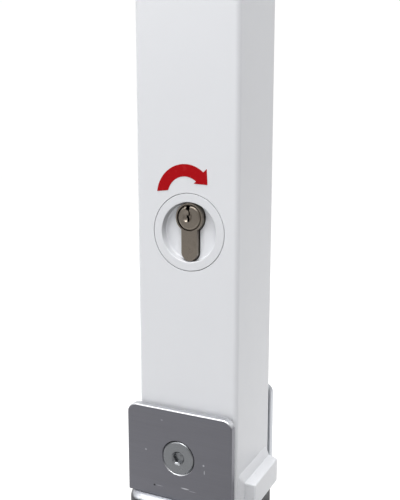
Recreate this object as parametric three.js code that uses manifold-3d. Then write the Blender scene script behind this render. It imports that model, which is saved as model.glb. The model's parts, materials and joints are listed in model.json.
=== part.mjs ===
// Lockable fold-down upright: a square post on a hinged foot, with a keyed cylinder that drives a
// rack and bolt down into the foot. Millimetres, +Z up, front towards -Y. The origin is on the
// ground, straight below the hinge axis.
import * as THREE from 'three';
import { mergeVertices } from 'three/addons/utils/BufferGeometryUtils.js';
import Module from 'manifold-3d';

const wasm = await Module();
wasm.setup();

// ---- driving dimensions --------------------------------------------------------------------

const GAP = 0.3;                 // air between two pieces that touch in real life

// Post: a rectangular tube that stands a little to the right of the hinge axis.
const POST_WIDTH = 63.2;
const POST_DEPTH = 53.2;
const POST_CORNER = 2.8;
const POST_WALL = 3;
const POST_X = 2.1;
const POST_BOTTOM = 44;
const POST_TOP = 360;
const CAP_THICKNESS = 4;
const CAP_INSERT = 12;

// Foot: a cast tub with a flange.
const FLANGE_SIZE = 120;
const FLANGE_CORNER = 14;
const FLANGE_TOP = 9;
const GASKET_THICKNESS = 1.7;
const FLANGE_BOTTOM = GASKET_THICKNESS + GAP;
const ANCHOR_SPACING = 94;
const ANCHOR_HOLE = 4.5;
const ANCHOR_SINK = 9;
const FOOT_TOP = 50;
const FOOT_CORNER = 10;
const SHOULDER_FRONT = 5;        // how far the rounded shoulder runs out at front and back
const SHOULDER_SIDE = 1.5;       // the same at the two sides
const TUB_FLOOR = 30;
const TUB_LEFT = -30.4;
const TUB_RIGHT = 30.5;
const UPRIGHT_STOP_TOP = 43.6;   // the post's right-hand lower edge lands here when upright
const FOLDED_STOP_TOP = 46.6;    // its left side lands here when folded

// Cheek plates and hinge.
const PLATE_WIDTH = 67.6;
const PLATE_THICKNESS = 5.1;
const PLATE_CORNER = 6;
const PLATE_TOP = 105.2;
const PLATE_GAP = 2;             // between the post's face and the plate
const TONGUE_WIDTH = 50;
const TONGUE_BOTTOM = 14;
const HINGE_Z = 76.6;
const SCREW_RADIUS = 5;
const SCREW_HEAD_RADIUS = 10;
const SCREW_LENGTH = 26;
const SCREW_PROUD = 0.3;         // how far the head stands out of the plate
const SINK_RADIUS = 10.7;
const SCREW_BORE = SCREW_RADIUS + 0.6;
const SLEEVE_RADIUS = 8;
const BUSH_RADIUS = 10.5;
const BUSH_FLANGE_RADIUS = 14;
const CLAMP_X = 15;
const CLAMP_Z = 21;

// Rose and half cylinder.
const ROSE_X = POST_X + 1.5;
const ROSE_Z = 208.3;
const ROSE_RADIUS = 21.7;
const ROSE_DEPTH = 8;
const RECESS_RADIUS = 16.9;
const RECESS_DEPTH = 4.8;
const CYLINDER_HEIGHT = 33;
const CYLINDER_ROUND = 8.5;
const CYLINDER_LEG = 5;
const CYLINDER_SET_BACK = 1.6;   // face of the cylinder behind the face of the post
const CYLINDER_CLEARANCE = 0.5;  // round the cylinder, in the rose
const CYLINDER_X = ROSE_X - 0.45;
const CYLINDER_Z = ROSE_Z + CYLINDER_HEIGHT / 2 - CYLINDER_ROUND;
const LEG_CENTRE_Z = CYLINDER_Z - (CYLINDER_HEIGHT - CYLINDER_ROUND - CYLINDER_LEG);
const PLUG_RADIUS = 6.4;
const PLUG_BORE = 6.7;
const PLUG_BEVEL = 1.2;
const PLUG_HEAD = 7.15;          // radius of the plug's head, wider than its barrel
const HEAD_ROOM = 7.45;          // radius of the counterbore that the head sits in
const HEAD_SEAT = 2;             // how far the head reaches in behind the cylinder's face
const TAIL_RADIUS = 2.4;
const TAIL_ACROSS = TAIL_RADIUS * Math.sqrt(3);
const KEYWAY_BOTTOM = -2.2;
const PIN_COUNT = 5;
const PIN_PITCH = 4.6;
const PIN_RADIUS = 1.35;
const PIN_HOLE = 1.6;

// Rack and pinion: one full turn of the key moves the bolt by the pinion's pitch circumference.
const MODULE = 1;
const PINION_TEETH = 10;
const PRESSURE_ANGLE = Math.PI / 9;
const PINION_ADDENDUM = 0.9;
const RACK_ADDENDUM = 0.55;
const ROOT_CLEARANCE = 0.25;
const BACKLASH = 0.3;
const PITCH_RADIUS = MODULE * PINION_TEETH / 2;
const BOLT_TRAVEL = 31.4;
const BOLT_X = 14.5;
const BOLT_RADIUS = 5;
const BOLT_TIP = POST_BOTTOM + 2;
const BOLT_TOP = 190;
const RACK_X = CYLINDER_X + PITCH_RADIUS;
const RACK_BACK = 16;

// Stop block on the right-hand side of the post.
const STOP_PROTRUSION = 9.35;
const STOP_FRONT = -19.8;
const STOP_BACK = 21;
const STOP_LEAN = 3.6;           // how far the back of the block leans in at its tip
const STOP_TOP = 63.1;
const STOP_BOTTOM = 48.5;
const STOP_SCREW_Y = [-10, 7.5];

// ---- derived places ------------------------------------------------------------------------

const FACE_Y = -POST_DEPTH / 2;
const PLATE_INNER = POST_DEPTH / 2 + PLATE_GAP;
const PLATE_OUTER = PLATE_INNER + PLATE_THICKNESS;
const FOOT_HALF_DEPTH = PLATE_OUTER + SHOULDER_FRONT;
const POST_LEFT = POST_X - POST_WIDTH / 2;
const POST_RIGHT = POST_X + POST_WIDTH / 2;
const INNER_WIDTH = POST_WIDTH - 2 * POST_WALL;
const INNER_DEPTH = POST_DEPTH - 2 * POST_WALL;
const CYLINDER_FRONT = FACE_Y + CYLINDER_SET_BACK;
const PINION_FRONT = 5;          // the gap in the cylinder that the pinion turns in
const PINION_BACK = 13;
const CYLINDER_BACK = 17;
const PINION_Y = (PINION_FRONT + PINION_BACK) / 2;
const CASE_FRONT_Y = [-16, -14];
const CASE_BACK_Y = [19.4, 21.4];
const CASE_Z = [174, 262];
const CASE_X = [POST_X - 27, POST_X + 27];

// ---- materials -----------------------------------------------------------------------------

function material(color, roughness, metalness) {
  return new THREE.MeshStandardMaterial({ color, roughness, metalness });
}

const whiteCoat = () => material(0xe6e7ea, 0.35, 0);
const whitePlastic = () => material(0xe9eaec, 0.45, 0);
const redFilm = () => material(0xa01018, 0.4, 0);
const satinNickel = () => material(0x8a8074, 0.35, 1);
const brass = () => material(0xb59a5a, 0.35, 1);
const anodised = () => material(0x75757d, 0.4, 1);
const zincSteel = () => material(0x9a9ca0, 0.35, 1);
const darkCoat = () => material(0x3c3c40, 0.4, 0.3);
const blackPlastic = () => material(0x222224, 0.6, 0);
const blackRubber = () => material(0x1a1a1b, 0.8, 0);
const springSteel = () => material(0xa8aaae, 0.3, 1);

// ---- solids --------------------------------------------------------------------------------

function signedVolume(geometry) {
  const p = geometry.getAttribute('position');
  const index = geometry.index.array;
  const [a, b, c] = [new THREE.Vector3(), new THREE.Vector3(), new THREE.Vector3()];
  let sum = 0;
  for (let i = 0; i < index.length; i += 3) {
    a.fromBufferAttribute(p, index[i]);
    b.fromBufferAttribute(p, index[i + 1]);
    c.fromBufferAttribute(p, index[i + 2]);
    sum += a.dot(b.cross(c)) / 6;
  }
  return sum;
}

// A closed three.js geometry becomes a manifold solid, with its faces pointing out.
function solid(geometry) {
  const bare = geometry.clone();
  bare.deleteAttribute('normal');
  bare.deleteAttribute('uv');
  const merged = mergeVertices(bare, 1e-4);
  const triVerts = Uint32Array.from(merged.index.array);
  if (signedVolume(merged) < 0) {
    for (let i = 0; i < triVerts.length; i += 3) {
      [triVerts[i + 1], triVerts[i + 2]] = [triVerts[i + 2], triVerts[i + 1]];
    }
  }
  const vertProperties = Float32Array.from(merged.getAttribute('position').array);
  const mesh = new wasm.Mesh({ numProp: 3, vertProperties, triVerts });
  mesh.merge();
  return new wasm.Manifold(mesh);
}

function cut(body, ...tools) {
  return tools.reduce((left, tool) => left.subtract(tool), body);
}

function join(...bodies) {
  return bodies.reduce((sum, next) => sum.add(next));
}

function surface(body) {
  const mesh = body.getMesh();
  const geometry = new THREE.BufferGeometry();
  geometry.setAttribute('position', new THREE.BufferAttribute(mesh.vertProperties, 3));
  geometry.setIndex(new THREE.BufferAttribute(mesh.triVerts, 1));
  const flat = geometry.toNonIndexed();
  flat.computeVertexNormals();
  return flat;
}

function block(x, y, z) {
  const geometry = new THREE.BoxGeometry(x[1] - x[0], y[1] - y[0], z[1] - z[0]);
  geometry.translate((x[0] + x[1]) / 2, (y[0] + y[1]) / 2, (z[0] + z[1]) / 2);
  return solid(geometry);
}

const BASIS = {
  x: [new THREE.Vector3(0, 1, 0), new THREE.Vector3(0, 0, 1), new THREE.Vector3(1, 0, 0)],
  y: [new THREE.Vector3(1, 0, 0), new THREE.Vector3(0, 0, 1), new THREE.Vector3(0, -1, 0)],
  z: [new THREE.Vector3(1, 0, 0), new THREE.Vector3(0, 1, 0), new THREE.Vector3(0, 0, 1)],
};

// Extrudes an outline along one axis, from one place on it to another. An outline for x is drawn
// in (y, z), one for y in (x, z), and one for z in (x, y).
function prism(axis, outline, from, to, curveSegments = 4) {
  const depth = to - from;
  const geometry = new THREE.ExtrudeGeometry(outline, { depth, bevelEnabled: false, curveSegments });
  geometry.applyMatrix4(new THREE.Matrix4().makeBasis(...BASIS[axis]));
  const start = axis === 'y' ? to : from;
  const place = { x: [start, 0, 0], y: [0, start, 0], z: [0, 0, start] }[axis];
  geometry.translate(...place);
  return solid(geometry);
}

// A turned piece: profile points are [radius, place along the axis].
function turned(axis, centre, profile, segments = 24) {
  const points = profile.map(([radius, along]) => new THREE.Vector2(radius, along));
  const geometry = new THREE.LatheGeometry(points, segments);
  if (axis === 'z') geometry.rotateX(Math.PI / 2);
  if (axis === 'x') geometry.rotateZ(-Math.PI / 2);
  const place = { x: [0, ...centre], y: [centre[0], 0, centre[1]], z: [...centre, 0] }[axis];
  geometry.translate(...place);
  return solid(geometry);
}

function rod(axis, centre, radius, from, to, segments = 24) {
  return turned(axis, centre, [[0, from], [radius, from], [radius, to], [0, to]], segments);
}

function tube(axis, centre, outer, inner, from, to, segments = 24) {
  const profile = [[inner, from], [outer, from], [outer, to], [inner, to], [inner, from]];
  return turned(axis, centre, profile, segments);
}

function roundedRectangle(width, height, corner, centreX = 0, centreY = 0) {
  const [x, y] = [width / 2 - corner, height / 2 - corner];
  const shape = new THREE.Shape();
  shape.absarc(centreX + x, centreY - y, corner, -Math.PI / 2, 0);
  shape.absarc(centreX + x, centreY + y, corner, 0, Math.PI / 2);
  shape.absarc(centreX - x, centreY + y, corner, Math.PI / 2, Math.PI);
  shape.absarc(centreX - x, centreY - y, corner, Math.PI, Math.PI * 1.5);
  shape.closePath();
  return shape;
}

function polygon(points) {
  return new THREE.Shape(points.map(([x, y]) => new THREE.Vector2(x, y)));
}

function hexagon(across, centreX, centreY) {
  const corner = across / 2 / Math.cos(Math.PI / 6);
  const points = [];
  for (let i = 0; i < 6; i += 1) {
    const angle = i * Math.PI / 3;
    points.push([centreX + corner * Math.cos(angle), centreY + corner * Math.sin(angle)]);
  }
  return polygon(points);
}

// ---- the object ----------------------------------------------------------------------------

const upright = new THREE.Group();
const foot = new THREE.Group();
const post = new THREE.Group();
const plug = new THREE.Group();
const bolt = new THREE.Group();
upright.add(foot, post);
post.add(plug, bolt);

function piece(group, name, body, finish) {
  const mesh = new THREE.Mesh(surface(body), finish);
  mesh.name = name;
  group.add(mesh);
}

// ---- foot ----------------------------------------------------------------------------------

function footSection(insetSide, insetFront) {
  const corner = FOOT_CORNER - Math.min(insetSide, insetFront) * 0.5;
  return roundedRectangle(PLATE_WIDTH - 2 * insetSide, 2 * (FOOT_HALF_DEPTH - insetFront), corner);
}

// The shoulder is stepped in thin slices that follow a quarter ellipse.
function footHousing() {
  const steps = 5;
  const slices = [];
  for (let i = 0; i < steps; i += 1) {
    const low = Math.PI / 2 * i / steps;
    const high = Math.PI / 2 * (i + 1) / steps;
    const inset = 1 - Math.cos((low + high) / 2);
    const section = footSection(SHOULDER_SIDE * inset, SHOULDER_FRONT * inset);
    const bottom = FOOT_TOP - SHOULDER_FRONT + SHOULDER_FRONT * Math.sin(low);
    const top = FOOT_TOP - SHOULDER_FRONT + SHOULDER_FRONT * Math.sin(high);
    slices.push(prism('z', section, bottom - 0.01, top, 3));
  }
  const walls = prism('z', footSection(0, 0), FLANGE_TOP - 1, FOOT_TOP - SHOULDER_FRONT, 3);
  return join(walls, ...slices);
}

function footFlange() {
  const outline = roundedRectangle(FLANGE_SIZE, FLANGE_SIZE, FLANGE_CORNER);
  return prism('z', outline, FLANGE_BOTTOM, FLANGE_TOP, 3);
}

function anchorHole(x, y) {
  const sink = ANCHOR_SINK - ANCHOR_HOLE;
  const profile = [
    [0, -1], [ANCHOR_HOLE, -1], [ANCHOR_HOLE, FLANGE_TOP - sink],
    [ANCHOR_SINK + 1, FLANGE_TOP + 1], [0, FLANGE_TOP + 1],
  ];
  return turned('z', [x, y], profile, 20);
}

const anchorPlaces = [];
for (const x of [-ANCHOR_SPACING / 2, ANCHOR_SPACING / 2]) {
  for (const y of [-ANCHOR_SPACING / 2, ANCHOR_SPACING / 2]) anchorPlaces.push([x, y]);
}

const clampPlaces = [];
for (const side of [-1, 1]) {
  for (const x of [-CLAMP_X, CLAMP_X]) clampPlaces.push([side, x]);
}
const CLAMP_RADIUS = 3;
const CLAMP_HEAD_RADIUS = 5;
const CLAMP_HEAD_DEPTH = 4.4;
const CLAMP_LENGTH = 18;

function clampHole([side, x]) {
  const face = FOOT_HALF_DEPTH;
  const reach = face - CLAMP_LENGTH - 1;
  const bore = rod('y', [x, CLAMP_Z], CLAMP_RADIUS + GAP, reach, face + 1, 16);
  const pocketFloor = face - CLAMP_HEAD_DEPTH;
  const pocket = rod('y', [x, CLAMP_Z], CLAMP_HEAD_RADIUS + GAP, pocketFloor, face + 1, 16);
  const hole = join(bore, pocket);
  return side > 0 ? hole : hole.mirror([0, 1, 0]);
}

// The screw heads sit flush in pockets in the front and back of the foot, where the plates'
// tongues are held.
function clampScrew([side, x]) {
  const face = FOOT_HALF_DEPTH - 0.5;
  const headBack = FOOT_HALF_DEPTH - CLAMP_HEAD_DEPTH + GAP;
  const head = rod('y', [x, CLAMP_Z], CLAMP_HEAD_RADIUS, headBack, face, 20);
  const shank = rod('y', [x, CLAMP_Z], CLAMP_RADIUS, face - CLAMP_LENGTH, headBack + 0.5, 16);
  const socket = prism('y', hexagon(5, x, CLAMP_Z), face - 3, face + 1);
  const screw = cut(join(head, shank), socket);
  return side > 0 ? screw : screw.mirror([0, 1, 0]);
}

function tongueSlot(side) {
  const inner = PLATE_INNER - GAP;
  const outer = PLATE_OUTER + GAP;
  const y = side > 0 ? [inner, outer] : [-outer, -inner];
  const half = TONGUE_WIDTH / 2 + GAP;
  return block([-half, half], y, [TONGUE_BOTTOM - GAP, FOOT_TOP + 1]);
}

const SOCKET_RADIUS = 8;
const SOCKET_DEPTH = 17;
const UPRIGHT_PAD = 2;           // thickness of the rubber buffers
const FOLDED_PAD = 2.6;

function buildFoot() {
  const inner = PLATE_INNER - GAP;
  const y = [-inner, inner];
  const above = FOOT_TOP + 1;
  const edge = PLATE_WIDTH / 2 + 1;
  const casting = cut(
    join(footFlange(), footHousing()),
    block([TUB_LEFT, TUB_RIGHT], y, [TUB_FLOOR, above]),
    block([TUB_RIGHT - 1, edge], y, [UPRIGHT_STOP_TOP - UPRIGHT_PAD, above]),
    block([-edge, TUB_LEFT + 1], y, [FOLDED_STOP_TOP - FOLDED_PAD, above]),
    tongueSlot(-1),
    tongueSlot(1),
    rod('z', [BOLT_X, PINION_Y], SOCKET_RADIUS + GAP, TUB_FLOOR - SOCKET_DEPTH, above, 24),
    ...anchorPlaces.map(([x, across]) => anchorHole(x, across)),
    ...clampPlaces.map(clampHole),
  );
  piece(foot, 'foot_casting', casting, darkCoat());

  const gasketHoles = anchorPlaces.map((place) => (
    rod('z', place, ANCHOR_HOLE, -1, FLANGE_BOTTOM, 16)));
  const gasketOutline = roundedRectangle(FLANGE_SIZE - 1, FLANGE_SIZE - 1, FLANGE_CORNER);
  const gasket = cut(prism('z', gasketOutline, 0, GASKET_THICKNESS, 3), ...gasketHoles);
  piece(foot, 'floor_gasket', gasket, blackRubber());

  const socketBottom = TUB_FLOOR - SOCKET_DEPTH + GAP;
  const socketBore = BOLT_RADIUS + 0.5;
  const socket = tube('z', [BOLT_X, PINION_Y], SOCKET_RADIUS, socketBore, socketBottom, TUB_FLOOR);
  piece(foot, 'bolt_socket', socket, zincSteel());

  const padY = [-inner + GAP, inner - GAP];
  const padEnd = PLATE_WIDTH / 2 - GAP;
  const padInset = 0.1;
  const uprightPad = block([TUB_RIGHT + padInset, padEnd], padY,
    [UPRIGHT_STOP_TOP - UPRIGHT_PAD + GAP, UPRIGHT_STOP_TOP]);
  piece(foot, 'upright_buffer', uprightPad, blackRubber());
  const foldedPad = block([-padEnd, TUB_LEFT - padInset], padY,
    [FOLDED_STOP_TOP - FOLDED_PAD + GAP, FOLDED_STOP_TOP]);
  piece(foot, 'folded_buffer', foldedPad, blackRubber());

  clampPlaces.forEach((place, i) => {
    const name = `clamp_screw_${place[0] < 0 ? 'front' : 'back'}_${i % 2 + 1}`;
    piece(foot, name, clampScrew(place), zincSteel());
  });
}

// ---- hinge ---------------------------------------------------------------------------------

function plateOutline() {
  const half = PLATE_WIDTH / 2;
  const tongue = TONGUE_WIDTH / 2;
  const seat = FOOT_TOP + GAP;
  const shape = new THREE.Shape();
  shape.moveTo(-tongue, TONGUE_BOTTOM);
  shape.lineTo(tongue, TONGUE_BOTTOM);
  shape.lineTo(tongue, seat);
  shape.lineTo(half, seat);
  shape.absarc(half - PLATE_CORNER, PLATE_TOP - PLATE_CORNER, PLATE_CORNER, 0, Math.PI / 2);
  shape.absarc(-half + PLATE_CORNER, PLATE_TOP - PLATE_CORNER, PLATE_CORNER, Math.PI / 2, Math.PI);
  shape.lineTo(-half, seat);
  shape.lineTo(-tongue, seat);
  shape.closePath();
  return shape;
}

// Built at the back, for y above zero; the front one is its mirror image.
function cheekPlate() {
  const body = prism('y', plateOutline(), PLATE_INNER, PLATE_OUTER, 4);
  const sink = PLATE_OUTER - (SINK_RADIUS - SCREW_BORE);
  const hole = turned('y', [0, HINGE_Z], [
    [0, PLATE_INNER - 1], [SCREW_BORE, PLATE_INNER - 1], [SCREW_BORE, sink],
    [SINK_RADIUS, PLATE_OUTER], [SINK_RADIUS, PLATE_OUTER + 1], [0, PLATE_OUTER + 1],
  ], 40);
  const clamps = [-CLAMP_X, CLAMP_X].map((x) => (
    rod('y', [x, CLAMP_Z], CLAMP_RADIUS + GAP, PLATE_INNER - 1, PLATE_OUTER + 1, 16)));
  return cut(body, hole, ...clamps);
}

function hingeScrew() {
  const face = PLATE_OUTER + SCREW_PROUD;
  const rim = 0.3;
  const coneEnd = face - rim - (SCREW_HEAD_RADIUS - SCREW_RADIUS);
  const body = turned('y', [0, HINGE_Z], [
    [0, face - SCREW_LENGTH], [SCREW_RADIUS - 0.8, face - SCREW_LENGTH],
    [SCREW_RADIUS, face - SCREW_LENGTH + 0.8], [SCREW_RADIUS, coneEnd],
    [SCREW_HEAD_RADIUS, face - rim], [SCREW_HEAD_RADIUS - 0.2, face], [0, face],
  ], 32);
  const key = prism('y', hexagon(6, 0, HINGE_Z), face - 3.8, face + 1);
  const leadIn = turned('y', [0, HINGE_Z], [
    [0, face - 0.6], [3.3, face - 0.6], [4.3, face + 0.4], [0, face + 0.4],
  ]);
  return cut(body, key, leadIn);
}

function hingeBush() {
  const face = POST_DEPTH / 2 + GAP;
  const bore = SLEEVE_RADIUS + 0.2;
  return turned('y', [0, HINGE_Z], [
    [bore, face - 9], [BUSH_RADIUS, face - 9], [BUSH_RADIUS, face],
    [BUSH_FLANGE_RADIUS, face], [BUSH_FLANGE_RADIUS, PLATE_INNER - GAP],
    [bore, PLATE_INNER - GAP], [bore, face - 9],
  ], 32);
}

function buildHinge() {
  const flip = (body) => body.mirror([0, 1, 0]);
  piece(foot, 'back_cheek_plate', cheekPlate(), anodised());
  piece(foot, 'front_cheek_plate', flip(cheekPlate()), anodised());
  piece(foot, 'hinge_screw_back', hingeScrew(), zincSteel());
  piece(foot, 'hinge_screw_front', flip(hingeScrew()), zincSteel());
  piece(post, 'hinge_bush_back', hingeBush(), blackPlastic());
  piece(post, 'hinge_bush_front', flip(hingeBush()), blackPlastic());
  const end = PLATE_INNER - GAP;
  const sleeve = tube('y', [0, HINGE_Z], SLEEVE_RADIUS, SCREW_RADIUS + GAP, -end, end, 32);
  piece(foot, 'hinge_sleeve', sleeve, zincSteel());
}

// ---- post ----------------------------------------------------------------------------------

const CASE_SCREW_PLACES = [[-14, 184], [-14, 250]];
const FIXING_SCREW_Z = LEG_CENTRE_Z;
const SMALL_SCREW = 2.5;
const SMALL_HEAD = 4.6;
const STOP_SCREW_Z = (STOP_TOP + STOP_BOTTOM) / 2;

function sinkHole(axis, centre, face, inner) {
  const step = Math.sign(face - inner);
  const mouth = SMALL_HEAD + 0.5;
  const bore = SMALL_SCREW + GAP;
  const profile = [
    [0, inner - step], [bore, inner - step], [bore, face - step * (mouth - bore)],
    [mouth, face], [mouth, face + step], [0, face + step],
  ];
  return turned(axis, centre, profile, 16);
}

// A small countersunk screw with a hexagon socket, from its head's face to its tip.
function sunkScrew(axis, centre, face, tip) {
  const step = Math.sign(face - tip);
  const profile = [
    [0, tip], [SMALL_SCREW - 0.5, tip], [SMALL_SCREW, tip + step * 0.5],
    [SMALL_SCREW, face - step * (SMALL_HEAD - SMALL_SCREW)], [SMALL_HEAD, face - step * 0.2],
    [SMALL_HEAD, face], [0, face],
  ];
  const outline = hexagon(3, ...centre);
  const ends = [face - step * 2, face + step];
  const key = prism(axis, outline, Math.min(...ends), Math.max(...ends));
  return cut(turned(axis, centre, profile, 20), key);
}

function postTube() {
  const outer = roundedRectangle(POST_WIDTH, POST_DEPTH, POST_CORNER, POST_X, 0);
  const inner = roundedRectangle(INNER_WIDTH, INNER_DEPTH, 0.8, POST_X, 0);
  const back = POST_DEPTH / 2;
  const innerBack = back - POST_WALL;
  const stopWall = [POST_RIGHT - POST_WALL - 1, POST_RIGHT + 1];
  return cut(
    prism('z', outer, POST_BOTTOM, POST_TOP, 3),
    prism('z', inner, POST_BOTTOM - 1, POST_TOP + 1, 1),
    rod('y', [ROSE_X, ROSE_Z], ROSE_RADIUS + GAP, -back - 1, -innerBack + 1, 48),
    rod('y', [0, HINGE_Z], BUSH_RADIUS + GAP, -back - 1, back + 1, 32),
    ...CASE_SCREW_PLACES.map((place) => sinkHole('y', place, back, innerBack)),
    sinkHole('x', [PINION_Y, FIXING_SCREW_Z], POST_LEFT, POST_LEFT + POST_WALL),
    ...STOP_SCREW_Y.map((y) => rod('x', [y, STOP_SCREW_Z], SMALL_SCREW + GAP, ...stopWall, 16)),
  );
}

function topCap() {
  const lid = POST_TOP + GAP;
  const clearance = 0.6;
  const wall = 2;
  const insertWidth = INNER_WIDTH - clearance;
  const insertDepth = INNER_DEPTH - clearance;
  const skirt = roundedRectangle(insertWidth, insertDepth, 2, POST_X, 0);
  const hollow = roundedRectangle(insertWidth - 2 * wall, insertDepth - 2 * wall, 1, POST_X, 0);
  const rim = roundedRectangle(POST_WIDTH, POST_DEPTH, POST_CORNER, POST_X, 0);
  const crown = roundedRectangle(POST_WIDTH - 2, POST_DEPTH - 2, POST_CORNER - 0.5, POST_X, 0);
  return cut(
    join(
      prism('z', rim, lid, lid + CAP_THICKNESS - 1, 3),
      prism('z', crown, lid + 1, lid + CAP_THICKNESS, 3),
      prism('z', skirt, lid - CAP_INSERT, lid + 1, 2),
    ),
    prism('z', hollow, lid - CAP_INSERT - 1, lid, 1),
  );
}

const END_PLUG_TOP = POST_BOTTOM + 7;
const GUIDE_TOP = 63;

function endPlug() {
  const clearance = 0.6;
  const outline = roundedRectangle(INNER_WIDTH - clearance, INNER_DEPTH - clearance, 1, POST_X, 0);
  return cut(
    join(
      prism('z', outline, POST_BOTTOM + GAP, END_PLUG_TOP, 1),
      rod('z', [BOLT_X, PINION_Y], BOLT_RADIUS + 3, END_PLUG_TOP - 1, GUIDE_TOP, 24),
    ),
    rod('z', [BOLT_X, PINION_Y], BOLT_RADIUS + 0.4, POST_BOTTOM - 1, GUIDE_TOP + 1, 24),
  );
}

function stopBlock() {
  const size = [STOP_PROTRUSION - GAP, STOP_BACK - STOP_FRONT, STOP_TOP - STOP_BOTTOM];
  const outline = roundedRectangle(size[1], size[2], 1, (STOP_FRONT + STOP_BACK) / 2, STOP_SCREW_Z);
  const from = POST_RIGHT + GAP;
  const holes = STOP_SCREW_Y.map((y) => (
    rod('x', [y, STOP_SCREW_Z], SMALL_SCREW + GAP, from - 1, from + size[0] - 2.5, 16)));
  const tip = from + size[0];
  const lean = prism('z', polygon([
    [from + 1.4, STOP_BACK], [from + 4.7, STOP_BACK - 0.7], [tip, STOP_BACK - STOP_LEAN],
    [tip + 1, STOP_BACK - STOP_LEAN - 0.7], [tip + 1, STOP_BACK + 1], [from + 1.4, STOP_BACK + 1],
  ]), STOP_BOTTOM - 1, STOP_TOP + 1);
  return cut(prism('x', outline, from, tip, 2), ...holes, lean);
}

// Cap screws that hold the stop block from inside the tube.
function stopScrew(y) {
  const wall = POST_RIGHT - POST_WALL - GAP;
  const tip = POST_RIGHT + STOP_PROTRUSION - 3.5;
  const body = turned('x', [y, STOP_SCREW_Z], [
    [0, wall - 4], [4, wall - 4], [4, wall], [SMALL_SCREW, wall], [SMALL_SCREW, tip], [0, tip],
  ], 16);
  return cut(body, prism('x', hexagon(4, y, STOP_SCREW_Z), wall - 5, wall - 2));
}

function buildPost() {
  piece(post, 'post_tube', postTube(), whiteCoat());
  piece(post, 'top_cap', topCap(), whitePlastic());
  piece(post, 'end_plug', endPlug(), blackPlastic());
  piece(post, 'stop_block', stopBlock(), whiteCoat());
  STOP_SCREW_Y.forEach((y, i) => {
    piece(post, `stop_screw_${i + 1}`, stopScrew(y), zincSteel());
  });
}

// ---- rose, arrow and cylinder --------------------------------------------------------------

// The keyed cylinder's outline: a round top and a leg with a round end, grown by a margin.
function cylinderOutline(margin) {
  const round = CYLINDER_ROUND + margin;
  const leg = CYLINDER_LEG + margin;
  const angle = Math.asin(leg / round);
  const shape = new THREE.Shape();
  shape.absarc(CYLINDER_X, CYLINDER_Z, round, -Math.PI / 2 + angle, Math.PI * 1.5 - angle);
  shape.absarc(CYLINDER_X, LEG_CENTRE_Z, leg, Math.PI, Math.PI * 2);
  shape.closePath();
  return shape;
}

function lockRose() {
  const floor = FACE_Y + RECESS_DEPTH;
  const back = FACE_Y + ROSE_DEPTH;
  const body = turned('y', [ROSE_X, ROSE_Z], [
    [0, back], [ROSE_RADIUS - 1, back], [ROSE_RADIUS - 1, FACE_Y + POST_WALL],
    [ROSE_RADIUS, FACE_Y + POST_WALL], [ROSE_RADIUS, FACE_Y + 0.3], [ROSE_RADIUS - 0.3, FACE_Y],
    [RECESS_RADIUS + 0.5, FACE_Y], [RECESS_RADIUS, FACE_Y + 0.5],
    [RECESS_RADIUS - 0.2, floor - 0.8], [RECESS_RADIUS - 1, floor], [0, floor],
  ], 48);
  return cut(body, prism('y', cylinderOutline(CYLINDER_CLEARANCE), FACE_Y, back + 1, 8));
}

// A band bent clockwise over the lock, with a straight-cut tail and a barbed head.
const ARROW_X = ROSE_X - 2.2;
const ARROW_Z = ROSE_Z + 20.4;
const ARROW_OUTER = 17.4;
const ARROW_INNER = 10.6;
const ARROW_THICKNESS = 0.3;

function arrowOutline() {
  const radians = (degrees) => degrees * Math.PI / 180;
  const at = (radius, degrees) => [
    ARROW_X + radius * Math.cos(radians(degrees)),
    ARROW_Z + radius * Math.sin(radians(degrees)),
  ];
  const neck = 49;
  const [outerTail, innerTail] = [173.4, 164.8];
  const shape = new THREE.Shape();
  shape.absarc(ARROW_X, ARROW_Z, ARROW_OUTER, radians(outerTail), radians(neck), true);
  shape.lineTo(...at(ARROW_OUTER + 2.8, neck - 1));
  shape.lineTo(...at(ARROW_OUTER - 2.1, neck - 24.6));
  shape.lineTo(...at(ARROW_INNER - 1.8, neck + 1.6));
  shape.lineTo(...at(ARROW_INNER, neck));
  shape.absarc(ARROW_X, ARROW_Z, ARROW_INNER, radians(neck), radians(innerTail), false);
  shape.closePath();
  return shape;
}

function pinY(i) {
  return CYLINDER_FRONT + 4.5 + i * PIN_PITCH;
}

const SHEAR_GAP = 0.35;
const STRIP_THICKNESS = 1;
const STRIP_HALF = 1.8;
const STRIP_REACH = 2.1;         // how far the strip runs past the end pins
const LEG_BOTTOM = LEG_CENTRE_Z - CYLINDER_LEG;
const STRIP_BOTTOM = LEG_BOTTOM + 0.6;
const WEB_RIGHT = RACK_X - RACK_ADDENDUM - 0.5;   // the web under the pinion, cut clear of the rack

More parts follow.
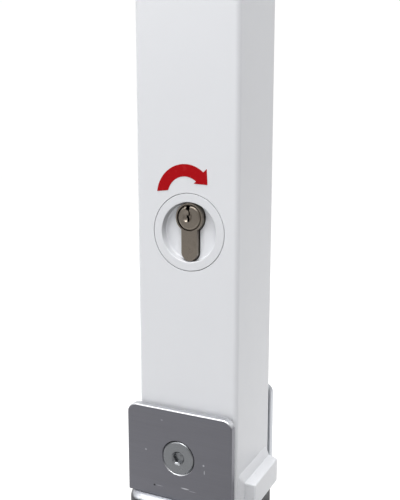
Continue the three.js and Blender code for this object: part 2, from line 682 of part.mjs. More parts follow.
function cylinderBody() {
  const body = prism('y', cylinderOutline(0), CYLINDER_FRONT, CYLINDER_BACK, 6);
  const wide = CYLINDER_ROUND + 1;
  const axis = [CYLINDER_X, CYLINDER_Z];
  const pinionRoom = [PINION_FRONT, PINION_BACK];
  const stripRoom = STRIP_REACH + GAP;
  const stripY = [pinY(0) - stripRoom, pinY(PIN_COUNT - 1) + stripRoom];
  const stripX = [CYLINDER_X - STRIP_HALF - GAP, CYLINDER_X + STRIP_HALF + GAP];
  const tools = [
    rod('y', axis, PLUG_BORE, CYLINDER_FRONT - 1, PINION_FRONT + 1, 32),
    rod('y', axis, TAIL_RADIUS + 0.4, PINION_FRONT, CYLINDER_BACK + 1, 20),
    tube('y', axis, HEAD_ROOM, PLUG_BORE - 1, CYLINDER_FRONT - 1, CYLINDER_FRONT + HEAD_SEAT + GAP, 32),
    block([CYLINDER_X - wide, CYLINDER_X + wide], pinionRoom, [CYLINDER_Z - 14, CYLINDER_Z + 12]),
    block([WEB_RIGHT, CYLINDER_X + wide], pinionRoom, [LEG_BOTTOM - 1, CYLINDER_Z]),
    rod('x', [PINION_Y, FIXING_SCREW_Z], SMALL_SCREW + GAP, CYLINDER_X - 8, CYLINDER_X + 8, 16),
    block(stripX, stripY, [LEG_BOTTOM - 1, STRIP_BOTTOM + STRIP_THICKNESS + GAP]),
  ];
  const chamberTop = CYLINDER_Z - PLUG_BORE + 1;
  for (let i = 0; i < PIN_COUNT; i += 1) {
    tools.push(rod('z', [CYLINDER_X, pinY(i)], PIN_HOLE, LEG_BOTTOM, chamberTop, 12));
  }
  return cut(body, ...tools);
}

// The keyway is three overlapping slots, each set off sideways from the last, with a dished
// lead-in at the face.
const KEYWAY = [
  { x: [-1.6, 0.4], z: [4.2, 7] },
  { x: [-0.5, 0.5], z: [1.2, 4.5] },
  { x: [-1.4, 0.1], z: [KEYWAY_BOTTOM, 1.5] },
];

function cylinderPlug() {
  const face = CYLINDER_FRONT - 0.4;
  const back = PINION_FRONT - GAP;
  const centre = [CYLINDER_X, CYLINDER_Z];
  const body = turned('y', centre, [
    [0, face], [PLUG_HEAD - PLUG_BEVEL, face], [PLUG_HEAD, face + PLUG_BEVEL],
    [PLUG_HEAD, CYLINDER_FRONT + HEAD_SEAT], [PLUG_RADIUS, CYLINDER_FRONT + HEAD_SEAT],
    [PLUG_RADIUS, back], [0, back],
  ], 32);
  const tail = prism('y', hexagon(TAIL_ACROSS, ...centre), back - 1, CYLINDER_BACK + 1.8);
  const grooveEnds = [CYLINDER_BACK + GAP, CYLINDER_BACK + 1.3];
  const groove = tube('y', centre, TAIL_RADIUS + 1, TAIL_RADIUS - 0.6, ...grooveEnds, 16);
  const slots = KEYWAY.map(({ x, z }) => block(
    [CYLINDER_X + x[0], CYLINDER_X + x[1]], [face - 1, back - 3],
    [CYLINDER_Z + z[0], CYLINDER_Z + z[1]]));
  const dish = turned('y', [CYLINDER_X - 0.6, CYLINDER_Z + 0.9], [
    [0, face - 0.5], [3.4, face - 0.5], [2.9, face + 0.1], [1.2, face + 1.4], [0, face + 1.4],
  ], 20);
  const pins = [];
  for (let i = 0; i < PIN_COUNT; i += 1) {
    const bottom = CYLINDER_Z - PLUG_RADIUS - 1;
    pins.push(rod('z', [CYLINDER_X, pinY(i)], PIN_HOLE, bottom, CYLINDER_Z - 1, 12));
  }
  return cut(join(body, tail), groove, dish, ...slots, ...pins);
}

// Key pins end at the shear line, as with the right key in: the plug is free to turn.
function keyPin(i) {
  const top = CYLINDER_Z + KEYWAY_BOTTOM + 0.6 * (i % 3) / 2;
  return turned('z', [CYLINDER_X, pinY(i)], [
    [0, CYLINDER_Z - PLUG_RADIUS + 0.1], [PIN_RADIUS - 0.2, CYLINDER_Z - PLUG_RADIUS + 0.1],
    [PIN_RADIUS, CYLINDER_Z - PLUG_RADIUS + 0.4], [PIN_RADIUS, top - 0.9], [0.4, top], [0, top],
  ], 12);
}

const DRIVER_LENGTH = 4.5;
const DRIVER_TOP = CYLINDER_Z - PLUG_BORE - 0.1;

function driverPin(i) {
  const bottom = DRIVER_TOP - DRIVER_LENGTH;
  return turned('z', [CYLINDER_X, pinY(i)], [
    [0, bottom], [PIN_RADIUS - 0.3, bottom], [PIN_RADIUS, bottom + 0.3],
    [PIN_RADIUS, DRIVER_TOP - 0.2], [PIN_RADIUS - 0.2, DRIVER_TOP], [0, DRIVER_TOP],
  ], 12);
}

class Helix extends THREE.Curve {
  constructor(centre, radius, bottom, top, turns) {
    super();
    Object.assign(this, { centre, radius, bottom, top, turns });
  }

  getPoint(t, target = new THREE.Vector3()) {
    const angle = t * this.turns * Math.PI * 2;
    return target.set(
      this.centre[0] + this.radius * Math.cos(angle),
      this.centre[1] + this.radius * Math.sin(angle),
      this.bottom + (this.top - this.bottom) * t,
    );
  }
}

function pinSpring(i) {
  const wire = 0.2;
  const turns = 4;
  const bottom = STRIP_BOTTOM + STRIP_THICKNESS + SHEAR_GAP + wire;
  const top = DRIVER_TOP - DRIVER_LENGTH - SHEAR_GAP - wire;
  const extrudePath = new Helix([CYLINDER_X, pinY(i)], PIN_RADIUS - wire, bottom, top, turns);
  const section = polygon([[wire, 0], [0, wire], [-wire, 0], [0, -wire]]);
  const steps = turns * 9;
  return solid(new THREE.ExtrudeGeometry(section, { extrudePath, steps, bevelEnabled: false }));
}

function buildCylinder() {
  piece(post, 'lock_rose', lockRose(), whitePlastic());
  const arrowFace = FACE_Y - 0.05;
  const arrow = prism('y', arrowOutline(), arrowFace - ARROW_THICKNESS, arrowFace, 10);
  piece(post, 'turn_arrow', arrow, redFilm());
  piece(post, 'cylinder_body', cylinderBody(), satinNickel());
  piece(plug, 'cylinder_plug', cylinderPlug(), satinNickel());
  const stripX = [CYLINDER_X - STRIP_HALF, CYLINDER_X + STRIP_HALF];
  const stripY = [pinY(0) - STRIP_REACH, pinY(PIN_COUNT - 1) + STRIP_REACH];
  const strip = block(stripX, stripY, [STRIP_BOTTOM, STRIP_BOTTOM + STRIP_THICKNESS]);
  piece(post, 'chamber_strip', strip, brass());
  for (let i = 0; i < PIN_COUNT; i += 1) {
    piece(plug, `key_pin_${i + 1}`, keyPin(i), brass());
    piece(post, `driver_pin_${i + 1}`, driverPin(i), springSteel());
    piece(post, `pin_spring_${i + 1}`, pinSpring(i), springSteel());
  }
  const axis = [CYLINDER_X, CYLINDER_Z];
  const clipY = [CYLINDER_BACK + 0.5, CYLINDER_BACK + 1.1];
  const mouth = 1.2;
  const clip = cut(
    tube('y', axis, TAIL_RADIUS + 1.6, TAIL_RADIUS - 0.3, ...clipY),
    block([CYLINDER_X - mouth, CYLINDER_X + mouth], [CYLINDER_BACK, CYLINDER_BACK + 2],
      [CYLINDER_Z, CYLINDER_Z + 6]),
  );
  piece(plug, 'tail_clip', clip, springSteel());
  const fixing = sunkScrew('x', [PINION_Y, FIXING_SCREW_Z], POST_LEFT + 0.1, WEB_RIGHT - 0.3);
  piece(post, 'cylinder_fixing_screw', fixing, zincSteel());
}

// ---- rack, pinion and bolt -----------------------------------------------------------------

function involute(angle) {
  return Math.tan(angle) - angle;
}

function pinionOutline() {
  const base = PITCH_RADIUS * Math.cos(PRESSURE_ANGLE);
  const tip = PITCH_RADIUS + PINION_ADDENDUM;
  const root = PITCH_RADIUS - RACK_ADDENDUM - ROOT_CLEARANCE;
  const thickness = MODULE * Math.PI / 2 - BACKLASH / 2;
  const halfAngle = (radius) => {
    const pressure = Math.acos(Math.min(1, base / radius));
    return thickness / 2 / PITCH_RADIUS + involute(PRESSURE_ANGLE) - involute(pressure);
  };
  const flank = [root, base, base + 0.25, PITCH_RADIUS, PITCH_RADIUS + PINION_ADDENDUM / 2, tip];
  const points = [];
  for (let tooth = 0; tooth < PINION_TEETH; tooth += 1) {
    const middle = tooth * Math.PI * 2 / PINION_TEETH;
    const side = (radius, sign) => {
      const angle = middle + sign * halfAngle(radius);
      points.push([CYLINDER_X + radius * Math.cos(angle), CYLINDER_Z + radius * Math.sin(angle)]);
    };
    flank.forEach((radius) => side(radius, -1));
    [...flank].reverse().forEach((radius) => side(radius, 1));
  }
  return polygon(points);
}

const PINION_FACES = [PINION_FRONT + GAP, PINION_BACK - GAP];

function drivePinion() {
  const gear = prism('y', pinionOutline(), PINION_FACES[0], PINION_FACES[1]);
  const bore = hexagon(TAIL_ACROSS + 0.4, CYLINDER_X, CYLINDER_Z);
  return cut(gear, prism('y', bore, PINION_FACES[0] - 1, PINION_FACES[1] + 1));
}

// Teeth face the pinion. The toothed stretch starts just below the axis and covers the travel.
const RACK_BOTTOM = 192;
const RACK_TOP = CYLINDER_Z + BOLT_TRAVEL + 6;
const RACK_Y = [PINION_Y - 3.4, PINION_Y + 3.4];
const TANG_BOTTOM = 178;
const TANG_X = [BOLT_X - 1.6, BOLT_X + 1.4];
const ROD_PIN_Z = 184;
const ROD_PIN_RADIUS = 1.5;

function rackOutline() {
  const pitch = MODULE * Math.PI;
  const rootX = RACK_X + PINION_ADDENDUM + ROOT_CLEARANCE;
  const tipX = RACK_X - RACK_ADDENDUM;
  const half = (x) => (pitch / 2 - BACKLASH / 2) / 2 + (x - RACK_X) * Math.tan(PRESSURE_ANGLE);
  const first = -3;
  const last = Math.floor((RACK_TOP - CYLINDER_Z - 2) / pitch - 0.5);
  const points = [[RACK_BACK, RACK_BOTTOM], [RACK_BACK, RACK_TOP], [rootX, RACK_TOP]];
  for (let tooth = last; tooth >= first; tooth -= 1) {
    const middle = CYLINDER_Z + (tooth + 0.5) * pitch;
    points.push([rootX, middle + half(rootX)], [tipX, middle + half(tipX)]);
    points.push([tipX, middle - half(tipX)], [rootX, middle - half(rootX)]);
  }
  points.push([rootX, RACK_BOTTOM]);
  return polygon(points.reverse());
}

// The rack bar's tang sits in a slot in the top of the bolt rod, and a cross pin holds the two.
function rodPinHole() {
  const reach = BOLT_RADIUS + 1;
  return rod('x', [PINION_Y, ROD_PIN_Z], ROD_PIN_RADIUS + GAP, BOLT_X - reach, BOLT_X + reach, 12);
}

function rackBar() {
  const tang = block(TANG_X, [PINION_Y - 2.5, PINION_Y + 2.5], [TANG_BOTTOM, RACK_BOTTOM + 1]);
  return cut(join(prism('y', rackOutline(), RACK_Y[0], RACK_Y[1]), tang), rodPinHole());
}

function boltRod() {
  const body = turned('z', [BOLT_X, PINION_Y], [
    [0, BOLT_TIP], [BOLT_RADIUS - 1.5, BOLT_TIP], [BOLT_RADIUS, BOLT_TIP + 2.5],
    [BOLT_RADIUS, BOLT_TOP], [0, BOLT_TOP],
  ], 24);
  const slotX = [TANG_X[0] - GAP, TANG_X[1] + GAP];
  const slotY = [PINION_Y - BOLT_RADIUS - 1, PINION_Y + BOLT_RADIUS + 1];
  return cut(body, block(slotX, slotY, [TANG_BOTTOM - GAP, BOLT_TOP + 1]), rodPinHole());
}

function buildDrive() {
  piece(plug, 'drive_pinion', drivePinion(), brass());
  piece(bolt, 'rack_bar', rackBar(), zincSteel());
  piece(bolt, 'bolt_rod', boltRod(), zincSteel());
  const reach = BOLT_RADIUS - 0.2;
  const pin = rod('x', [PINION_Y, ROD_PIN_Z], ROD_PIN_RADIUS, BOLT_X - reach, BOLT_X + reach, 12);
  piece(bolt, 'rod_pin', pin, springSteel());
}

// ---- lock case -----------------------------------------------------------------------------

const PILLAR_PLACES = [[-20, 180], [26, 180], [-20, 256], [26, 256]];
const PILLAR_RADIUS = 3;
const PILLAR_BORE = 1.6;
const GUIDE_WALL = 3;
const GUIDE_HALF_HEIGHT = 12;

function casePlate(y, ...tools) {
  const centreZ = (CASE_Z[0] + CASE_Z[1]) / 2;
  const outline = roundedRectangle(CASE_X[1] - CASE_X[0], CASE_Z[1] - CASE_Z[0], 3, POST_X, centreZ);
  return cut(prism('y', outline, y[0], y[1], 2), ...tools);
}

function buildCase() {
  const opening = prism('y', cylinderOutline(GAP), CASE_FRONT_Y[0] - 1, CASE_FRONT_Y[1] + 1, 6);
  piece(post, 'case_front_plate', casePlate(CASE_FRONT_Y, opening), zincSteel());
  const screwHoles = CASE_SCREW_PLACES.map((place) => (
    rod('y', place, SMALL_SCREW + GAP, CASE_BACK_Y[0] - 1, CASE_BACK_Y[1] + 1, 16)));
  piece(post, 'case_back_plate', casePlate(CASE_BACK_Y, ...screwHoles), zincSteel());
  PILLAR_PLACES.forEach((place, i) => {
    const ends = [CASE_FRONT_Y[1] + GAP, CASE_BACK_Y[0] - GAP];
    const pillar = tube('y', place, PILLAR_RADIUS, PILLAR_BORE, ...ends, 16);
    piece(post, `case_pillar_${i + 1}`, pillar, brass());
  });
  CASE_SCREW_PLACES.forEach((place, i) => {
    const screw = sunkScrew('y', place, POST_DEPTH / 2 - 0.1, CASE_BACK_Y[0] - 2);
    piece(post, `case_screw_${i + 1}`, screw, zincSteel());
  });
  const guideZ = [CYLINDER_Z - GUIDE_HALF_HEIGHT, CYLINDER_Z + GUIDE_HALF_HEIGHT];
  const guide = cut(
    block([RACK_BACK - GUIDE_WALL, RACK_BACK + 2 * GUIDE_WALL],
      [RACK_Y[0] - GUIDE_WALL, RACK_Y[1] + GUIDE_WALL], guideZ),
    block([RACK_BACK - GUIDE_WALL - 1, RACK_BACK + GAP],
      [RACK_Y[0] - GAP, RACK_Y[1] + GAP], [guideZ[0] - 1, guideZ[1] + 1]),
  );
  piece(post, 'rack_guide', guide, blackPlastic());
}

buildFoot();
buildHinge();
buildPost();
buildCylinder();
buildDrive();
buildCase();

export default upright;
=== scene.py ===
import json
from math import asin, cos, pi, radians, sin

import bmesh
import bpy
from bpy.props import FloatProperty, FloatVectorProperty, PointerProperty
from bpy.types import Operator, Panel, PropertyGroup
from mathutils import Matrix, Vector

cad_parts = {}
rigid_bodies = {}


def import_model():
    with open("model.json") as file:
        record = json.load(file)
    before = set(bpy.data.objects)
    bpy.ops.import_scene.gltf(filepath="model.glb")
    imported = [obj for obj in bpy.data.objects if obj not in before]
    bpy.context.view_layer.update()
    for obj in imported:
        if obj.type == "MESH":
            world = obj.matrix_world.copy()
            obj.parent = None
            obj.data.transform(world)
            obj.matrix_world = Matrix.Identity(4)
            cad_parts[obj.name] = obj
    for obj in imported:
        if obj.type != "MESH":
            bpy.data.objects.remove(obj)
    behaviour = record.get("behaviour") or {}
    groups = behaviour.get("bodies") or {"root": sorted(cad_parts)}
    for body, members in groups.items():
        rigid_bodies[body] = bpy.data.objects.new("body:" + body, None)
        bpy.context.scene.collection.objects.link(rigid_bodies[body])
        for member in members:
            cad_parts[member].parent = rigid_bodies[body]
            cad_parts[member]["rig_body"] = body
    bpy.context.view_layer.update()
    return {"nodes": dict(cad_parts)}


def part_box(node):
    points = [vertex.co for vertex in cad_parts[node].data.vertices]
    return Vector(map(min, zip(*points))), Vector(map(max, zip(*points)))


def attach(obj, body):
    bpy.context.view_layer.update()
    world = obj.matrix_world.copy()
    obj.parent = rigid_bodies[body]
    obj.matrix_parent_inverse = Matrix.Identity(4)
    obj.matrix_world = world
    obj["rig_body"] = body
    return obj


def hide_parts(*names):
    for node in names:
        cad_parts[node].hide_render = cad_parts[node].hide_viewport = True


bl_info = {
    "name": "Lockable upright",
    "version": (1, 0, 0),
    "blender": (4, 5, 0),
    "location": "3D View > Sidebar > Upright",
    "description": "Builds the look of a keyed fold-down upright around its packed frame",
    "category": "Object",
}

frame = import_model()

MM = 0.001
GAP = 0.3 * MM          # air between two pieces that touch in real life
MERGE = 0.0005 * MM     # points closer than this become one
NEEDLE = 0.001 * MM     # the least radius in a turned profile


# ---- places that come from the frame -------------------------------------------------------

def middle(node):
    low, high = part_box(node)
    return (low + high) / 2


POST_LOW, POST_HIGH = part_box("post_tube")
ROSE_LOW, ROSE_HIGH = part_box("lock_rose")
BODY_LOW, BODY_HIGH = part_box("cylinder_body")
PLUG_LOW, PLUG_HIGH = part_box("cylinder_plug")
PLATE_LOW, PLATE_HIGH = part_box("front_cheek_plate")
STOP_LOW, STOP_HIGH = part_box("stop_block")
FOOT_LOW, FOOT_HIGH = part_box("foot_casting")
SLEEVE_LOW, SLEEVE_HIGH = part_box("hinge_sleeve")
SOCKET_LOW, SOCKET_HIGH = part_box("bolt_socket")
BUSH_LOW, BUSH_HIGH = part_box("hinge_bush_back")
ROSE = middle("lock_rose")
PLUG = middle("cylinder_plug")
RACK_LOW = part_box("rack_bar")[0]
PINION_LOW, PINION_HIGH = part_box("drive_pinion")
HINGE = middle("hinge_sleeve")
POST = middle("post_tube")
BOLT = middle("bolt_socket")
POST_WALL = 3 * MM
PLATE_INNER = -PLATE_HIGH.y
PLATE_OUTER = -PLATE_LOW.y
FACE_Y = POST_LOW.y
LEG_RADIUS = 5 * MM
LEG_Z = BODY_LOW.z + LEG_RADIUS
CLAMP_X = 15 * MM
CLAMP_Z = middle("clamp_screw_back_1").z
CLAMP_BORE = 3.3 * MM
SHOULDER = 5 * MM       # radius of the foot's shoulder in front of the plates
TONGUE = 25 * MM        # half the width of the plates' tongues
CAP_LIP = 0.2 * MM
PAST = 1 * MM           # how far a tool runs past the face that it opens or joins


# ---- sizes and colours a user would change -------------------------------------------------

def length(name, description, default):
    return FloatProperty(name=name, description=description, default=default, unit="LENGTH")


def colour(name, description, default):
    return FloatVectorProperty(name=name, description=description, default=default,
                               subtype="COLOR", size=3, min=0, max=1)


class PostSizes(PropertyGroup):
    corner: length("Corner", "Radius of the tube's four corners", 2.8 * MM)
    edge: length("Edge", "Softness of cut edges in the tube", 0.35 * MM)
    coat: colour("Coat", "Colour of the powder coat", (0.70, 0.71, 0.735))
    plastic: colour("Plastic", "Colour of the cap and the rose", (0.68, 0.69, 0.715))
    weld: length("Fillet", "How far the painted fillet rises on the post above the stop block",
                 4.8 * MM)


class LockSizes(PropertyGroup):
    recess: length("Recess radius", "Radius of the dished recess in the rose", 16.8 * MM)
    recess_depth: length("Recess depth", "Depth of the recess below the post's face", 4.8 * MM)
    chamfer: length("Cylinder chamfer", "Chamfer round the cylinder's face", 0.45 * MM)
    nickel: colour("Nickel", "Colour of the satin nickel", (0.265, 0.231, 0.195))
    film: colour("Film", "Colour of the turn arrow", (0.37, 0.003, 0.006))
    film_thickness: length("Film thickness", "Thickness of the turn arrow", 0.12 * MM)


class HingeSizes(PropertyGroup):
    corner: length("Plate corner", "Radius of the cheek plates' top corners", 6 * MM)
    chamfer: length("Chamfer", "Chamfer round the cheek plates", 0.55 * MM)
    sink: length("Countersink", "Radius of the countersink at the plate's face", 10.7 * MM)
    head: length("Screw head", "Radius of the hinge screw's head", 10 * MM)
    key: length("Hexagon", "Width of the screw's hexagon socket", 6 * MM)
    plate: colour("Plate", "Colour of the brushed cheek plates", (0.207, 0.207, 0.230))
    zinc: colour("Zinc", "Colour of the plated steel", (0.262, 0.270, 0.282))


class FootSizes(PropertyGroup):
    corner: length("Corner", "Radius of the housing's upright corners", 10 * MM)
    flange_corner: length("Flange corner", "Radius of the flange's corners", 14 * MM)
    coat: colour("Coat", "Colour of the dark coat", (0.036, 0.036, 0.040))
    bare: colour("Worn metal", "Colour of the metal where the coat has worn off",
                 (0.70, 0.72, 0.76))
    wear_height: length("Wear height", "Height above which the shoulder is worn bright", 46.2 * MM)


class StageSettings(PropertyGroup):
    floor: colour("Floor", "Colour of the floor", (0.45, 0.45, 0.45))
    glow: FloatProperty(name="Floor glow", description="How far the floor fades into the backdrop",
                        default=0.60, min=0)
    focal_length: FloatProperty(name="Focal length", description="Lens of the camera, in mm",
                                default=49.68, min=10, max=200)
    heading: FloatProperty(name="Heading", description="How far the camera stands to the right",
                           default=radians(25.96), subtype="ANGLE")
    tilt: FloatProperty(name="Tilt", description="How far the camera looks down",
                        default=radians(9.64), subtype="ANGLE")
    room: FloatProperty(name="Room", description="Brightness of the room in front of the object",
                        default=0.42, min=0)
    zenith: FloatProperty(name="Zenith", description="Extra brightness of the room straight above",
                          default=1.1, min=0)
    key: FloatProperty(name="Key light", description="Power of the soft light at the left front",
                       default=5.8, min=0)
    overhead: FloatProperty(name="Overhead light", description="Power of the soft light overhead",
                            default=17.0, min=0)


# ---- outlines ------------------------------------------------------------------------------

def arc(radius, start, end, steps, centre=(0, 0)):
    """Points on an arc, with angles in degrees."""
    points = []
    for i in range(steps + 1):
        angle = radians(start + (end - start) * i / steps)
        points.append((centre[0] + radius * cos(angle), centre[1] + radius * sin(angle)))
    return points


def circle(radius, centre, steps=64):
    return arc(radius, 0, 360, steps, centre)[:-1]


def rounded_rectangle(width, depth, corner, centre=(0, 0), steps=8):
    x, y = width / 2 - corner, depth / 2 - corner
    cx, cy = centre
    return (arc(corner, -90, 0, steps, (cx + x, cy - y))
            + arc(corner, 0, 90, steps, (cx + x, cy + y))
            + arc(corner, 90, 180, steps, (cx - x, cy + y))
            + arc(corner, 180, 270, steps, (cx - x, cy - y)))


def hexagon(across, centre):
    return circle(across / 2 / cos(pi / 6), centre, 6)


def keyed_outline(margin, steps=48):
    """The keyed cylinder's section: a round top and a leg with a round end."""
    top = BODY_HIGH.x - PLUG.x + margin
    leg = LEG_RADIUS + margin
    meet = asin(leg / top) * 180 / pi
    upper = arc(top, -90 + meet, 270 - meet, steps, (PLUG.x, PLUG.z))
    lower = arc(leg, 180, 360, steps // 2, (PLUG.x, LEG_Z))
    return upper + lower


# ---- solids --------------------------------------------------------------------------------

def place(axis, across, along):
    """A point from its two places in an outline and its place along an axis."""
    a, b = across
    return {"x": (along, a, b), "y": (a, along, b), "z": (a, b, along)}[axis]


def loft(rings, closed=False):
    """A skin over rings of points. It is capped at both ends, or it closes on itself."""
    solid = bmesh.new()
    loops = [[solid.verts.new(point) for point in ring] for ring in rings]
    count = len(rings[0])
    pairs = list(zip(loops, loops[1:] + loops[:1]))
    for low, high in pairs if closed else pairs[:-1]:
        for i in range(count):
            j = (i + 1) % count
            solid.faces.new((low[i], low[j], high[j], high[i]))
    if not closed:
        solid.faces.new(list(reversed(loops[0])))
        solid.faces.new(loops[-1])
    bmesh.ops.remove_doubles(solid, verts=solid.verts, dist=MERGE)
    bmesh.ops.recalc_face_normals(solid, faces=solid.faces)
    return solid


def level(axis, outline, along):
    """An outline set square to an axis, at its place along it."""
    return [place(axis, p, along) for p in outline]


def prism(axis, outline, start, end):
    return loft([level(axis, outline, start), level(axis, outline, end)])


def turned(axis, centre, profile, steps=64, closed=False):
    """A turned solid: profile points are (radius, place along the axis)."""
    rings = [level(axis, circle(max(radius, NEEDLE), centre, steps), along)
             for radius, along in profile]
    return loft(rings, closed)


def ring(axis, centre, outer, inner, start, end, edge=0.2 * MM, steps=64):
    """A turned sleeve with softened edges."""
    profile = [
        (inner + edge, start), (outer - edge, start), (outer, start + edge), (outer, end - edge),
        (outer - edge, end), (inner + edge, end), (inner, end - edge), (inner, start + edge),
    ]
    return turned(axis, centre, profile, steps, closed=True)


def rod(axis, centre, radius, start, end, edge=0.0, steps=64):
    step = edge if end > start else -edge
    if edge:
        profile = [(0, start), (radius - edge, start), (radius, start + step),
                   (radius, end - step), (radius - edge, end), (0, end)]
    else:
        profile = [(0, start), (radius, start), (radius, end), (0, end)]
    return turned(axis, centre, profile, steps)


def bar(low, high):
    solid = bmesh.new()
    bmesh.ops.create_cube(solid, size=1)
    for vertex in solid.verts:
        for i in range(3):
            vertex.co[i] = low[i] if vertex.co[i] < 0 else high[i]
    return solid


def mirrored(solid):
    """The same solid on the other side of the plane y = 0."""
    for vertex in solid.verts:
        vertex.co.y = -vertex.co.y
    bmesh.ops.reverse_faces(solid, faces=solid.faces)
    return solid


def scratch_object(solid, name="scratch"):
    mesh = bpy.data.meshes.new(name)
    for face in solid.faces:
        face.smooth = True
    solid.to_mesh(mesh)
    solid.free()
    thing = bpy.data.objects.new(name, mesh)
    bpy.context.scene.collection.objects.link(thing)
    return thing


def settled(thing):
    """The object's mesh with its modifiers in it."""
    graph = bpy.context.evaluated_depsgraph_get()
    mesh = bpy.data.meshes.new_from_object(thing.evaluated_get(graph), depsgraph=graph)
    old = thing.data
    thing.modifiers.clear()
    thing.data = mesh
    bpy.data.meshes.remove(old)
    return mesh


def worked(solid, cuts=(), joins=(), edge=0.0, edge_steps=2, sharp=42):
    """A mesh from a solid, with others joined to it and cut from it, and its edges softened."""
    thing = scratch_object(solid)
    tools = []
    for operation, solids in (("UNION", joins), ("DIFFERENCE", cuts)):
        for other in solids:
            tool = scratch_object(other, "tool")
            modifier = thing.modifiers.new(operation, "BOOLEAN")
            modifier.operation = operation
            modifier.solver = "EXACT"
            modifier.object = tool
            tools.append(tool)
    if edge:
        bevel = thing.modifiers.new("soft edges", "BEVEL")
        bevel.width = edge
        bevel.segments = edge_steps
        bevel.limit_method = "ANGLE"
        bevel.angle_limit = radians(32)
        bevel.miter_outer = "MITER_ARC"
    mesh = settled(thing)
    for tool in tools:
        old = tool.data
        bpy.data.objects.remove(tool)
        bpy.data.meshes.remove(old)
    mesh.polygons.foreach_set("use_smooth", [True] * len(mesh.polygons))
    mesh.set_sharp_from_angle(angle=radians(sharp))
    normals = thing.modifiers.new("flat faces stay flat", "WEIGHTED_NORMAL")
    normals.keep_sharp = True
    mesh = settled(thing)
    bpy.data.objects.remove(thing)
    if len(mesh.polygons) < 6:
        raise RuntimeError("a piece came out empty")
    return mesh


def add_piece(name, mesh, slot, stands_for, finish=None, body=None):
    """Puts a mesh in the scene in place of the frame's nodes that it stands for.

    Its finish is the one its slot is named after, unless another is given."""
    piece = bpy.data.objects.new(name, mesh)
    mesh.name = name
    mesh.materials.clear()
    mesh.materials.append(finishes[finish or slot])
    bpy.context.scene.collection.objects.link(piece)
    nodes = [stands_for] if isinstance(stands_for, str) else list(stands_for)
    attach(piece, body or frame["nodes"][nodes[0]]["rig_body"])
    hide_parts(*nodes)
    return piece


# ---- finishes ------------------------------------------------------------------------------

class Finish:
    """A material made of nodes, worked out in the object's own coordinates."""

    def __init__(self, name, base, roughness, metallic=0.0, **sockets):
        self.material = bpy.data.materials.new(name)
        self.material.use_nodes = True
        self.tree = self.material.node_tree
        self.shader = self.tree.nodes["Principled BSDF"]
        self.shader.inputs["Base Color"].default_value = (*base, 1)
        self.shader.inputs["Roughness"].default_value = roughness
        self.shader.inputs["Metallic"].default_value = metallic
        for socket, value in sockets.items():
            title = socket.replace("_", " ").title().replace("Ior", "IOR")
            self.shader.inputs[title].default_value = value
        self.bumps = None

    def node(self, kind, **settings):
        made = self.tree.nodes.new(kind)
        for key, value in settings.items():
            setattr(made, key, value)
        return made

    def link(self, source, target):
        self.tree.links.new(source, target)

    def coordinates(self, stretch=(1, 1, 1)):
        source = self.node("ShaderNodeTexCoord").outputs["Object"]
        if tuple(stretch) == (1, 1, 1):
            return source
        mapping = self.node("ShaderNodeMapping")
        mapping.inputs["Scale"].default_value = stretch
        self.link(source, mapping.inputs["Vector"])
        return mapping.outputs["Vector"]

    def noise(self, size, detail=3.0, stretch=(1, 1, 1), roughness=0.55):
        """Noise whose lumps are about size across, in metres."""
        made = self.node("ShaderNodeTexNoise")
        made.inputs["Scale"].default_value = 1 / size
        made.inputs["Detail"].default_value = detail
        made.inputs["Roughness"].default_value = roughness
        self.link(self.coordinates(stretch), made.inputs["Vector"])
        return made.outputs["Fac"]

    def spread(self, value, low, high, to_low=0.0, to_high=1.0):
        made = self.node("ShaderNodeMapRange", clamp=True)
        for socket, number in zip(("From Min", "From Max", "To Min", "To Max"),
                                  (low, high, to_low, to_high)):
            made.inputs[socket].default_value = number
        self.link(value, made.inputs["Value"])
        return made.outputs["Result"]

    def maths(self, operation, *values):
        made = self.node("ShaderNodeMath", operation=operation)
        for socket, value in zip(made.inputs, values):
            if isinstance(value, (int, float)):
                socket.default_value = value
            else:
                self.link(value, socket)
        return made.outputs["Value"]

    def blend(self, factor, first, second):
        """A colour between two, where each is a colour or another node's output."""
        made = self.node("ShaderNodeMix", data_type="RGBA")
        self.link(factor, made.inputs["Factor"])
        for name, value in (("A", first), ("B", second)):
            socket = [s for s in made.inputs if s.name == name and s.type == "RGBA"][0]
            if isinstance(value, tuple):
                socket.default_value = (*value, 1)
            else:
                self.link(value, socket)
        return [s for s in made.outputs if s.type == "RGBA"][0]

    def paint(self, source, socket="Base Color"):
        self.link(source, self.shader.inputs[socket])

    def bump(self, height, distance, strength=1.0):
        made = self.node("ShaderNodeBump")
        made.inputs["Distance"].default_value = distance
        made.inputs["Strength"].default_value = strength
        self.link(height, made.inputs["Height"])
        if self.bumps is not None:
            self.link(self.bumps, made.inputs["Normal"])
        self.bumps = made.outputs["Normal"]
        self.link(self.bumps, self.shader.inputs["Normal"])

    def roughen(self, size, low, high):
        """A roughness that wanders between two values."""
        self.paint(self.spread(self.noise(size), 0.3, 0.7, low, high), "Roughness")

    def along(self, axis):
        """How far along an axis of the object a point lies, in metres."""
        parts = self.node("ShaderNodeSeparateXYZ")
        self.link(self.coordinates(), parts.inputs["Vector"])
        return parts.outputs[axis]


def tinted(base, factor):
    return tuple(min(1.0, part * factor) for part in base)


def powder_coat(base):
    """Stoved powder coat: an even colour with a faint orange peel."""
    finish = Finish("white_powder_coat", base, 0.34)
    finish.paint(finish.blend(finish.noise(38 * MM, 2), tinted(base, 0.985), tinted(base, 1.012)))
    finish.roughen(6 * MM, 0.28, 0.38)
    finish.bump(finish.noise(1.3 * MM, 2), 0.012 * MM, 0.6)
    return finish.material


